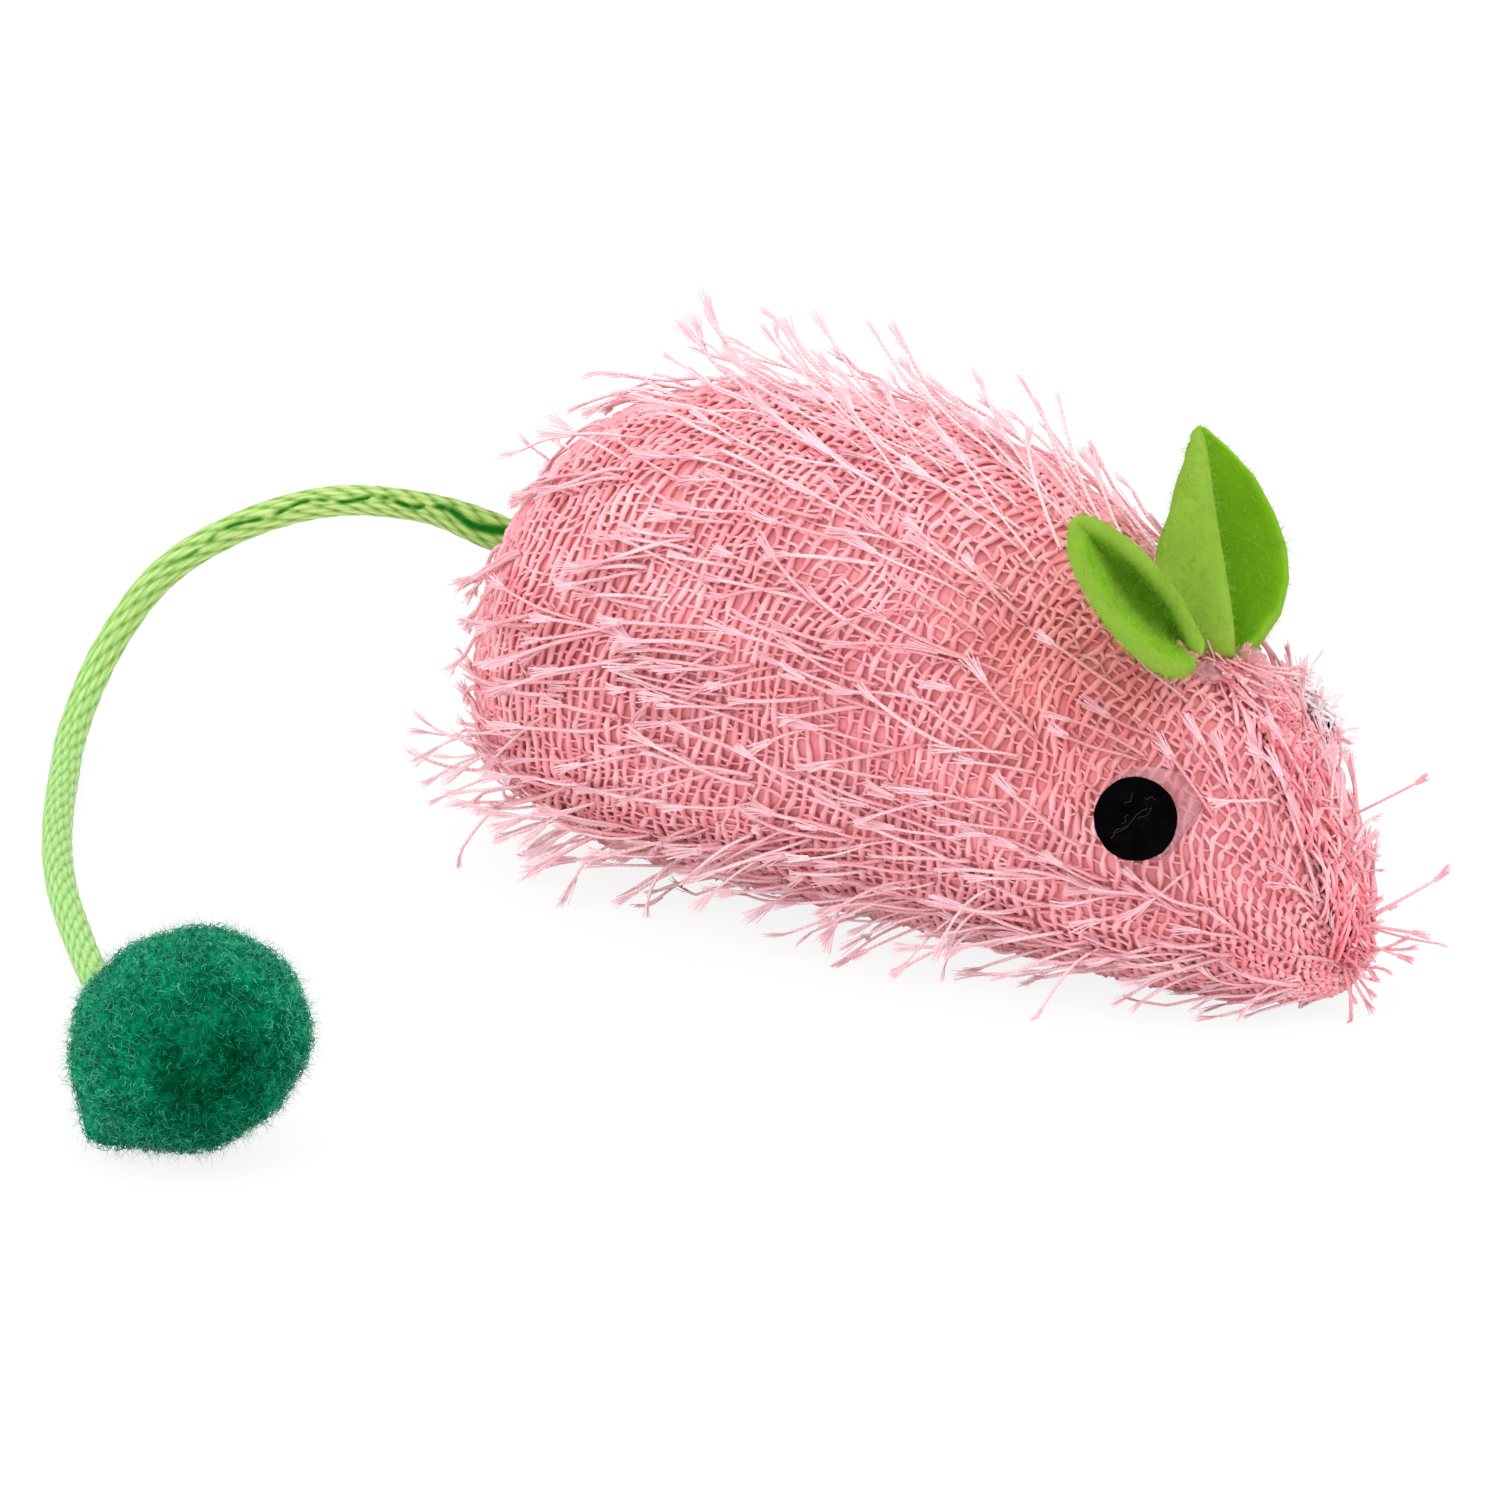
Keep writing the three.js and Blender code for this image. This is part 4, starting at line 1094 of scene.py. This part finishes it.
def skin_samples(number, draws, low=0.02, high=0.98):
    """Random turns and angles, evenly by the skin's area."""
    turn = draws.uniform(low, high, number * 6)
    angle = draws.uniform(0, TURN, number * 6)
    step = 1e-3
    at = body_point(turn, angle)
    area = np.linalg.norm(np.cross(body_point(turn + step, angle) - at,
                                   body_point(turn, angle + step) - at), axis=-1)
    kept = draws.random(number * 6) < area / area.max()
    return turn[kept][:number], angle[kept][:number]


def clear_of(paths, centre, radius):
    return (np.linalg.norm(paths - centre, axis=-1) > radius).all(axis=1)


def pile_paths(turn, angle, heading, length, lift, draws):
    """Threads that leave the skin and lie along it, at a heading between the tail's way and down."""
    root = body_point(turn, angle)
    step = 1e-3
    around = unit(body_point(turn, angle + step) - root)
    down = np.where(around[:, 2:] > 0, -around, around)
    back = -unit(body_point(turn + step, angle) - root)
    share = np.linspace(0, 1, PILE_STEPS)[None]
    way = heading[:, None] + draws.normal(0, 0.22, (len(turn), 1)) * share
    moves = np.cos(way)[..., None] * back[:, None] + np.sin(way)[..., None] * down[:, None]
    stride = (length / (PILE_STEPS - 1))[:, None, None]
    line = root[:, None] + np.cumsum(moves * stride, axis=1) - moves[:, :1] * stride
    height = 0.1 + np.minimum(share * 5, 1) * 0.35 + lift[:, None] * share**1.5
    height = height + 0.1 * np.sin(share * 8 + draws.uniform(0, TURN, (len(turn), 1)))
    return hug(line, height)


def brushes(paths, draws, length):
    """Ribbons of nearly one length that fan out from each thread's end, mostly flat over the skin."""
    number = len(paths)
    each = (number, 1, 1, 1)
    every = (number, BRUSH_FIBRES, 1, 1)
    heading = unit(paths[:, -1] - paths[:, -4])[:, None, None]
    outward = unit(paths[:, -1] * (0, 1, 1) - (0, 0, WAIST_SHARE * HEIGHT))[:, None, None]
    flat = np.cross(heading, outward) + draws.normal(0, 0.35, (number, 1, 1, 3))
    flat = unit(square_to(heading, flat))
    thin = np.cross(heading, flat)
    share = np.linspace(0, 1, BRUSH_STEPS)[None, None, :, None]
    spread = np.linspace(-1, 1, BRUSH_FIBRES)[None, :, None, None] + draws.normal(0, 0.2, every)
    width = BRUSH_SPREAD * draws.uniform(0.4, 1.2, each)
    depth = draws.normal(0, 0.07, every)
    size = length * draws.uniform(0.65, 1.25, each)
    reach = size * draws.uniform(0.72, 1.08, every)
    droop = draws.normal(0, 0.16, each) * share**2
    across = 0.35 + 0.65 * share**1.3
    way = share * heading + share * across * width * spread * flat + (share * depth + droop) * thin
    fibres = paths[:, -1][:, None, None] - 0.4 * heading + 0.17 * spread * flat + reach * way
    fibres = kept_above(fibres.reshape(-1, BRUSH_STEPS, 3), 0.12)
    return fibres, np.repeat(flat[:, 0, 0], BRUSH_FIBRES, axis=0)


def soft_tip_material():
    """Loose pale filament."""
    stuff = new_stuff("soft_filament")
    colour = stuff.ramp(stuff.attribute("tone"), (0.0, srgb(226, 160, 170)), (0.5, srgb(236, 186, 195)),
                        (1.0, srgb(244, 206, 214)))
    return stuff.finish(colour, 0.4)


def thinned(draws, low, high, number, steps, end):
    """A radius for each step of each thread, which thins to a share of itself at the thread's end."""
    return draws.uniform(low, high, (number, 1)) * np.linspace(1, end, steps)


def add_threads(name, paths, radii, draws, yarn, filament, brush_length=BRUSH_LENGTH, paleness=0.0):
    """Twisted threads and the brushes at their ends, as two pieces on the mouse."""
    kept_above(paths, 1.1 * radii)
    number, steps, _ = paths.shape
    pale = np.broadcast_to(paleness, number)
    tone = draws.uniform(0.2, 0.75, number)[:, None] + pale[:, None] + np.linspace(0, 0.25, steps)
    points, faces, values = tubes(paths, radii, 4, 0.75, tone=tone)
    values.update(ply_values(paths, 4))
    add_piece(name, (points, faces, values), yarn)
    fibres, wide = brushes(paths, draws, brush_length)
    fine = np.full(fibres.shape[:2], BRUSH_RADIUS) * np.linspace(1.1, 0.75, BRUSH_STEPS)[None]
    bright = 0.4 * draws.random(len(fibres)) + np.repeat(0.6 * draws.random(number) + pale, BRUSH_FIBRES)
    tips = tubes(fibres, fine, 3, 0.5, wide, tone=bright)
    add_piece(f"{name}_brushes", tips, filament, smooth=False)


def stray_threads(turn, angle, heading, length, draws, steps=PILE_STEPS, curl=0.28):
    """Threads that stand out from the skin and curl as they go."""
    root = body_point(turn, angle)
    share = np.linspace(0, 1, steps)[None, :, None]
    bend = draws.normal(0, curl, (len(turn), 1, 3))
    paths = root[:, None] + length[:, None, None] * (share * heading[:, None] + share**2 * bend)
    return kept_above(paths, 0.2)


def seen_flat(points):
    """Points as the picture shows them, without their depth."""
    return points - (points @ VIEW_BACK)[..., None] * VIEW_BACK


def clear_of_face(paths):
    """Which threads keep off the eyes, the ears and the cord's exit, and leave its end in sight."""
    kept = np.ones(len(paths), dtype=bool)
    for point in CORD_ROUTE[:4]:
        point = np.array(point)
        kept &= clear_of(paths, point, CORD_CLEARANCE)
        kept &= clear_of(paths[:, -1:], point, TIP_CLEARANCE)
        kept &= clear_of(seen_flat(paths[:, -5:]), seen_flat(point), SEEN_CLEARANCE)
    for side in ("right", "left"):
        seat, normal, _, _ = eye_frame(side)
        kept &= clear_of(paths, seat + 0.4 * normal, EYE_RADIUS + EYE_CLEARANCE)
        foot, direction, _, _ = ear_frame(side)
        for share in (0.05, 0.3, 0.6):
            kept &= clear_of(paths, foot + direction * EAR_LENGTH * share, EAR_CLEARANCE)
    return kept


def mixed_ways(draws, number, *parts):
    """For each thread the sum of several ways, each by an amount drawn between two limits."""
    return sum(np.asarray(way) * draws.uniform(low, high, (number, 1)) for way, low, high in parts)


def fringe_paths(draws):
    """Threads that hang off the lower edge of both flanks and lie out over the surface."""
    count = FRINGE_COUNT
    turn = draws.uniform(0.12, 0.93, count)
    side = np.where(draws.random(count) < 0.5, 1.0, -1.0)
    low = -draws.uniform(0.3, 0.95, count)
    angle = np.where(side > 0, low, np.pi - low)
    out = np.array([0, 1, 0]) * side[:, None]
    heading = unit(mixed_ways(draws, count, (out, 0.15, 0.75), ((-1, 0, 0), 0.5, 1), ((0, 0, -1), 0.1, 0.4)))
    fringe = stray_threads(turn, angle, heading, draws.uniform(*FRINGE_LENGTHS, count), draws)
    return kept_above(fringe, draws.uniform(*FRINGE_HEIGHTS, (count, 1)))


def add_pile(yarn, filament):
    draws = np.random.default_rng(SEEDS["pile"])
    turn, angle = skin_samples(PILE_COUNT, draws, 0.06)
    thin = np.exp(-(np.linalg.norm(body_point(turn, angle) - SHOULDER, axis=-1) / 10) ** 2)
    under = smooth_step(-0.5, -0.75, np.sin(angle))
    kept = draws.random(len(turn)) > 0.75 * thin + 0.95 * under
    turn, angle = turn[kept], angle[kept]
    number = len(turn)
    face = smooth_step(0.66, 0.8, turn)
    crest = smooth_step(0.75, 0.98, np.sin(angle))
    flank = np.abs(np.cos(angle))
    heading = 0.14 * flank + draws.normal(0.0, 0.2, number) * (1 + 1.3 * face)
    length = draws.uniform(*PILE_LENGTHS, number) * (1 - 0.3 * face)
    length = length * (0.6 + 0.4 * smooth_step(0.08, 0.25, turn))
    lift = draws.exponential(0.6, number) + crest * draws.uniform(0, 4.2, number)
    lift = np.minimum(lift, MOST_LIFT)
    paths = pile_paths(turn, angle, heading, length, lift, draws)
    paths = np.concatenate([paths, fringe_paths(draws)])
    # The lifted crest threads and the fringe take paler yarn: painted light that lifts the shade on them.
    pale = np.concatenate([0.9 * crest * np.minimum(lift / 2, 1), draws.uniform(0.3, 0.9, FRINGE_COUNT)])
    order = draws.permutation(len(paths))
    order = order[clear_of_face(paths[order])]
    paths, pale = paths[order], pale[order]
    number = len(paths)
    radii = PILE_RADIUS * draws.uniform(0.7, 1.15, (number, 1)) * np.linspace(1, 0.85, PILE_STEPS)
    radii = radii * (1 - 0.3 * np.clip(pale, 0, 1))[:, None]
    half = number // 2
    for name, rows in (("pile_a", slice(0, half)), ("pile_b", slice(half, number))):
        add_threads(name, paths[rows], radii[rows], draws, yarn, filament, paleness=pale[rows])


# Nose seam: two frayed edges sewn together, from the ears' feet down to the nose
SEAM_START = 0.735
SEAM_END = 0.985
SEAM_STRANDS = 230
SEAM_SPREAD = 1.7
SEAM_RADII = (0.13, 0.24)
SEAM_FRAYS = 330
SEAM_LOOSE = 44
NOSE_TUFT = 16
NOSE_TURNS = (0.95, 0.992)
BLOB_ROWS = 10
BLOB_COLUMNS = 28
BLOB_DROP = 0.3
BLOB_RADII = np.array([1.5, 1.5, 0.9])
EAR_TUFT = 30
EAR_TUFT_STEPS = 10
FRAY_STEPS = 6
EAR_TUFT_LENGTHS = (2.0, 4.2)
EAR_TUFT_RADII = (0.16, 0.26)
FRAY_LENGTHS = (1.0, 2.6)
FRAY_RADII = (0.13, 0.22)
LOOSE_LENGTHS = (1.6, 4.0)
LOOSE_RADII = (0.14, 0.22)
FLUFF_FIBRES = 800
FLUFF_LENGTHS = (0.7, 2.0)
FLUFF_RADIUS = 0.12
# Loose threads at the face: turn, angle in half turns, reach to the right and up, and length
WHISKERS = [
    (0.87, 0.36, 0.9, 0.43, 6.9), (0.95, 0.36, 0.91, 0.41, 7.4), (0.95, 0.36, 0.94, -0.34, 7.4),
    (0.985, 0.4, 0.95, 0.3, 4.6), (0.99, 0.6, 0.1, -0.99, 4.6), (0.975, 0.35, 0.98, 0.0, 3.6),
    (0.87, 0.46, 0.75, -0.5, 4.2), (0.83, 0.47, 0.5, -0.85, 4.5), (0.91, 0.47, 0.95, 0.1, 3.0)]


def slope(turn, angle):
    """The ways down to the nose along the skin, and out of it."""
    return unit(body_point(turn + 1e-3, angle) - body_point(turn, angle)), body_normal(turn, angle)


def add_ear_glue(glue, yarn, filament):
    """Flat blobs under the ears, with a tuft of frayed ends lying over them."""
    ways, polar, around = ball_ways(0.04, np.pi / 2 + 0.5, BLOB_ROWS, BLOB_COLUMNS)
    lumpy = 1 + 0.12 * np.sin(3 * around + 5 * polar)
    parts = []
    for side in ("right", "left"):
        centre = ear_frame(side)[0] - np.array([0, 0, EAR_FOOT_RADIUS + BLOB_DROP])
        parts.append(shell(centre + ways * lumpy[..., None] * BLOB_RADII, True))
    add_piece("ear_glue_blobs", joined(parts), glue, replaced=("ear_glue",))

    draws = np.random.default_rng(SEEDS["ear_tuft"])
    number = EAR_TUFT
    turn = draws.uniform(0.738, 0.77, number)
    spread = draws.normal(0.4, 1.7, number)
    angle = np.pi / 2 - spread / (width_at(turn) * HALF_WIDTH)
    down, normal = slope(turn, angle)
    heading = mixed_ways(draws, number, (down, 0.6, 1.2), (normal, 0.1, 0.5))
    heading = unit(heading + draws.normal(0, 0.25, (number, 3)))
    length = draws.uniform(*EAR_TUFT_LENGTHS, number)
    tuft = stray_threads(turn, angle, heading, length, draws, EAR_TUFT_STEPS)
    tuft = tuft + normal[:, None] * 0.8
    radii = thinned(draws, *EAR_TUFT_RADII, number, EAR_TUFT_STEPS, 0.8)
    add_threads("ear_foot_tuft", tuft, radii, draws, yarn, filament, 0.9)


def add_far_eye_fluff():
    """Pale fluff that hides most of the left eye from the right."""
    draws = np.random.default_rng(SEEDS["fluff"])
    number = FLUFF_FIBRES
    seat, normal, across, above = eye_frame("left")
    out = draws.uniform(0.7, 1.2, number) * EYE_RADIUS
    round_rim = draws.uniform(0, TURN, number)
    # Bare places let the felt peep through.
    bare = np.sin(3 * round_rim + 1) > 0.93
    spot = seat + out[:, None] * circled(round_rim, across, above)
    spot = spot + normal * draws.uniform(-0.6, 1, (number, 1)) * EYE_THICKNESS + VIEW_BACK * 0.5
    spot = spot[~bare]
    number = len(spot)
    heading = unit(draws.normal(0, 0.8, (number, 3)) + above * 0.3 + VIEW_RIGHT * 0.3)
    share = np.linspace(0, 1, 4)[None, :, None]
    bend = draws.normal(0, 0.3, (number, 1, 3))
    length = draws.uniform(*FLUFF_LENGTHS, (number, 1, 1))
    paths = spot[:, None] + length * (share * heading[:, None] + share**2 * bend)
    fluff = tubes(paths, np.full(paths.shape[:2], FLUFF_RADIUS), 3)
    pale = plain_stuff("white_fluff", srgb(240, 228, 232), srgb(255, 246, 249), 0.6, 900)
    add_piece("far_eye_fluff", fluff, pale, smooth=False)


def seam_strands(draws):
    """Yarn pulled tight along the seam, in short strands one beside the other."""
    each = (SEAM_STRANDS, 1)
    steps = np.linspace(0, 1, 10)[None]
    start = draws.uniform(SEAM_START - 0.01, SEAM_END - 0.03, each)
    along = np.minimum(start + draws.uniform(0.012, 0.04, each) * steps, SEAM_END)
    spread = draws.uniform(-SEAM_SPREAD, SEAM_SPREAD, each)
    drift = draws.normal(0, 1.0, each) * steps
    drift = drift + 0.3 * np.sin(along * draws.uniform(40, 120, each) + draws.uniform(0, TURN, each))
    width = np.maximum(width_at(along) * HALF_WIDTH, 1.4)
    angle = np.pi / 2 + np.arcsin(np.clip((spread + drift) / width, -0.9, 0.9))
    snout = 0.6 * smooth_step(0.84, 0.9, along) * (1 - smooth_step(0.95, 0.99, along))
    arch = np.sin(np.pi * steps) ** 0.5
    height = (0.15 + (0.5 + snout + draws.normal(0, 0.2, each)) * arch) * (1 - 0.12 * spread**2)
    lines = body_point(along, angle) + body_normal(along, angle) * height[..., None]
    tone = draws.uniform(0.3, 1.1, each) - 0.45 * smooth_step(0.9, 0.97, along)
    radii = draws.uniform(*SEAM_RADII, each) * np.ones(steps.shape)
    return tubes(lines, radii, 4, tone=tone)


def seam_frays(draws):
    """Frayed ends that lie across the seam."""
    number = SEAM_FRAYS
    turn = draws.uniform(SEAM_START, SEAM_END, number)
    angle = np.pi / 2 + draws.normal(0, 0.09, number) / np.maximum(width_at(turn) * 3, 0.3)
    down, normal = slope(turn, angle)
    out = np.array([0, 1, 0]) * np.where(draws.random(number) < 0.5, -1.0, 1.0)[:, None]
    heading = mixed_ways(draws, number, (normal, 0.2, 0.7), (out, 0.1, 0.9))
    heading = unit(heading + down * draws.normal(0.1, 0.9, (number, 1)))
    length = draws.uniform(*FRAY_LENGTHS, number)
    frays = stray_threads(turn, angle, heading, length, draws, FRAY_STEPS)
    radii = thinned(draws, *FRAY_RADII, number, FRAY_STEPS, 0.75)
    return tubes(frays, radii, 4, 0.6, tone=draws.uniform(0.1, 1, number))


def add_seam(yarn, filament):
    draws = np.random.default_rng(SEEDS["seam"])
    thread = thread_material("seam_thread", srgb(234, 112, 126), srgb(243, 152, 162), srgb(252, 194, 201))
    seam = joined([seam_strands(draws), seam_frays(draws)])
    add_piece("seam_threads", seam, thread, "mouse", ("nose_seam",))

    # Loose threads that lie over the seam, and a thicker tuft at the nose
    number = SEAM_LOOSE
    turn = draws.uniform(SEAM_START, SEAM_END, number)
    turn[:NOSE_TUFT] = draws.uniform(*NOSE_TURNS, NOSE_TUFT)
    angle = np.pi / 2 + draws.normal(0, 0.4, number)
    down, normal = slope(turn, angle)
    heading = mixed_ways(draws, number, (normal, 0.2, 0.8), (down, -1.0, 0.9))
    heading = unit(heading + draws.normal(0, 0.35, (number, 3)))
    loose = stray_threads(turn, angle, heading, draws.uniform(*LOOSE_LENGTHS, number), draws)
    loose = loose[clear_of_face(loose)]
    # Single long ones that stand out in front of the face
    turn, angle, right, up, length = np.array(WHISKERS).T
    heading = unit(right[:, None] * VIEW_RIGHT + up[:, None] * VIEW_UP)
    single = stray_threads(turn, angle * np.pi, heading, length, draws, curl=0.07)
    paths = np.concatenate([loose, single])
    radii = thinned(draws, *LOOSE_RADII, len(paths), PILE_STEPS, 0.8)
    add_threads("nose_threads", paths, radii, draws, yarn, filament, 1.3, -0.25)


# Pom-pom
POMPOM_FIBRES = 9000
POMPOM_CURL = 0.38
HALO_FIBRES = 5200
HALO_NAP = (0.75, 0.014, 0.7, 0.45)
POMPOM_CORNER = 1.6
POMPOM_STRETCH = 0.5
POMPOM_MOUTH = 1.4
# How far the swellings at the corner and round the cord's end reach, as 1 less the cosine
POMPOM_CORNER_REACH = 0.02
POMPOM_MOUTH_REACH = 0.065
POMPOM_SWEEPS = (1.4, 3.5)
POMPOM_RADII = (0.021, 0.035)
HALO_LIFT = 0.3
# Painted light and shade on the pom-pom: how much paler the yarn is painted away from its shaded side, how
# soon, and how deep the painted shade is there
PAINTED_RIM_LIGHT = 0.62
PAINTED_LIGHT_REACH = 0.4
PAINTED_SHADE_DEPTH = 0.26
POMPOM_ROWS = 60
POMPOM_COLUMNS = 90


def pompom_material():
    stuff = new_stuff("dark_yarn")
    base = stuff.ramp(stuff.noise(330, 4), (0.36, srgb(0, 38, 18)), (0.5, srgb(0, 88, 54)),
                      (0.66, srgb(14, 134, 96)))
    fresh = stuff.ramp(stuff.attribute("tone"), (0.0, srgb(0, 60, 34)), (0.4, srgb(4, 112, 76)),
                       (0.75, srgb(40, 154, 118)), (1.0, srgb(96, 196, 160)))
    mottle = stuff.ramp(stuff.noise(1800), (0.35, (0.45, 0.55, 0.5, 1)), (0.62, (1.35, 1.3, 1.35, 1)))
    return stuff.finish(stuff.tinted(stuff.blend(0.66, base, fresh), mottle), 0.9, 0.0)


def painted_light_and_shade(way):
    """How much paler the pom-pom's yarn is painted there: deep green painted shade on the side that faces
    the camera, a little right and low, and paler painted light on the rims and top round it.
    """
    deep = unit(VIEW_BACK + 0.22 * VIEW_RIGHT - 0.3 * VIEW_UP)
    return PAINTED_RIM_LIGHT * (1 - np.exp(-(1 - way @ deep) / PAINTED_LIGHT_REACH)) - PAINTED_SHADE_DEPTH


def add_pompom_core(yarn, centre, half):
    ways, _, _ = ball_ways(0.02, np.pi - 0.02, POMPOM_ROWS, POMPOM_COLUMNS)
    corner = unit(VIEW_RIGHT * -0.68 + VIEW_UP * -0.72)
    blunt = np.exp(-((1 - ways @ corner) / POMPOM_CORNER_REACH)) * POMPOM_CORNER
    slant = ways @ unit(VIEW_RIGHT * 0.72 + VIEW_UP * 0.69)
    rest = ways @ unit(VIEW_RIGHT * -0.69 + VIEW_UP * 0.72)
    blunt = blunt + POMPOM_STRETCH * (slant**2 - rest**2)
    # The yarn swells round the cord's end and hides the glue there.
    entry = unit(np.array(CORD_ROUTE[-1]) - centre)
    blunt = blunt + POMPOM_MOUTH * np.exp(-(((1 - ways @ entry) / POMPOM_MOUTH_REACH) ** 2))
    x, y, z = np.moveaxis(ways, -1, 0)
    lump = (0.16 * np.sin(x * 7 + y * 5) * np.cos(z * 8)
            + 0.12 * np.sin(x * 17 + 2) * np.sin(y * 15) * np.sin(z * 16))
    rings = kept_above(centre + ways * (half - 0.4 + (blunt + lump)[..., None]), 0.25)
    shape = shell(rings, True, tone=0.25 + painted_light_and_shade(ways))
    return add_piece("pompom_core", shape, yarn, "pompom", ("pompom",))


def add_pompom():
    """The ball, with curled fibres on it and finer, paler ones that stand out past them."""
    draws = np.random.default_rng(SEEDS["pompom"])
    low, high = (np.array(corner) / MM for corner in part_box("pompom"))
    centre = (low + high) / 2
    yarn = pompom_material()
    core = add_pompom_core(yarn, centre, (high - low) / 2)
    roots, up = surface_samples(core, POMPOM_FIBRES, draws)
    # Each fibre is a small arc that leaves the surface, curls over and runs back to it.
    each = (POMPOM_FIBRES, 1)
    every = (POMPOM_FIBRES, 3)
    sweep = draws.uniform(*POMPOM_SWEEPS, each) * np.linspace(0, 1, 4)[None]
    size = POMPOM_CURL * draws.uniform(0.5, 1.3, each)
    lean = unit(square_to(up, draws.normal(0, 1, every)))
    tilt = unit(square_to(lean, unit(up + draws.normal(0, 0.8, every))))
    arcs = (roots[:, None] + (size * (1 - np.cos(sweep)))[..., None] * lean[:, None]
            + (size * np.sin(sweep))[..., None] * tilt[:, None])
    kept_above(arcs, 0.06)
    fine = draws.uniform(*POMPOM_RADII, each) * np.ones((1, 4))
    tone = draws.random(POMPOM_FIBRES) + painted_light_and_shade(unit(roots - centre))
    shape = tubes(arcs, fine, 3, tone=tone)
    fuzz = add_piece("pompom_fibres", shape, yarn, "pompom", smooth=False)

    roots, up = surface_samples(core, HALO_FIBRES, draws)
    roots = roots + HALO_LIFT * up
    points, faces, _ = hairs(roots, up, *HALO_NAP, draws)
    kept_above(points, 0.05)
    # The halo's paler tone is painted light, for light that shines through the fine fibres at the rim.
    tone = draws.uniform(0.6, 1.1, HALO_FIBRES) + painted_light_and_shade(unit(roots - centre))
    shape = points, faces, {"tone": per_point(tone, HAIR_STEPS, 3)}
    halo = add_piece("pompom_halo", shape, yarn, "pompom", smooth=False)
    return [core, fuzz, halo]


# Pieces inside the body and the pom-pom: two colours, roughness and features a metre
KNOT_LOOK = (srgb(120, 190, 66), srgb(170, 220, 104), 0.45, 900)
HIDDEN_LOOKS = {
    "stuffing": (srgb(235, 232, 222), srgb(250, 248, 242), 0.95, 260),
    "catnip_fill": (srgb(84, 92, 44), srgb(136, 142, 84), 0.95, 900),
    "tail_knot": KNOT_LOOK,
    "pompom_knot": KNOT_LOOK,
    "pompom_glue": (srgb(10, 70, 44), srgb(30, 112, 80), 0.5, 500)}


def dress_hidden_nodes():
    """Gives the hidden pieces, which keep their solids, their own stuff."""
    for node, look in HIDDEN_LOOKS.items():
        material = plain_stuff(f"{node}_stuff", *look, 0.2)
        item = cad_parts[node]
        if item.material_slots:
            for held in item.material_slots:
                held.material = material
        else:
            item.data.materials.append(material)


add_camera()
cord, cord_path, cord_length = add_cord()
add_stage()
for name, (place, size, power) in LAMPS.items():
    add_lamp(name, place, size, power)

add_cloth()
pink_yarn = thread_material("pink_yarn", srgb(238, 148, 157), srgb(245, 170, 178), srgb(250, 190, 197))
add_links(pink_yarn, add_bars(pink_yarn))
felt = felt_material()
nap_material = plain_stuff("lime_nap", srgb(112, 156, 36), srgb(160, 196, 84), 0.9, 900)
for side in ("right", "left"):
    add_ear(side, felt, nap_material)
lint = plain_stuff("pale_lint", srgb(58, 54, 58), srgb(98, 92, 98), 0.7, 500)
eye_felt, glue = black_felt_material(), glue_material()
for side in ("right", "left"):
    eye_draws = np.random.default_rng(SEEDS[f"eye_{side}"])
    add_eye_disc(side, eye_felt, eye_draws)
    add_eye_lint(side, lint, eye_draws)
    add_eye_glue(side, glue)
pile_yarn = thread_material("pile_yarn", srgb(228, 142, 151), srgb(237, 164, 172), srgb(244, 186, 194),
                            srgb(248, 206, 212), roughness=0.5, ply=PLY_PITCH)
filament = soft_tip_material()
add_pile(pile_yarn, filament)
add_seam(pile_yarn, filament)
add_ear_glue(glue, pile_yarn, filament)
add_far_eye_fluff()
pompom_pieces = add_pompom()
dress_hidden_nodes()

bpy.context.scene.view_settings.view_transform = "Standard"
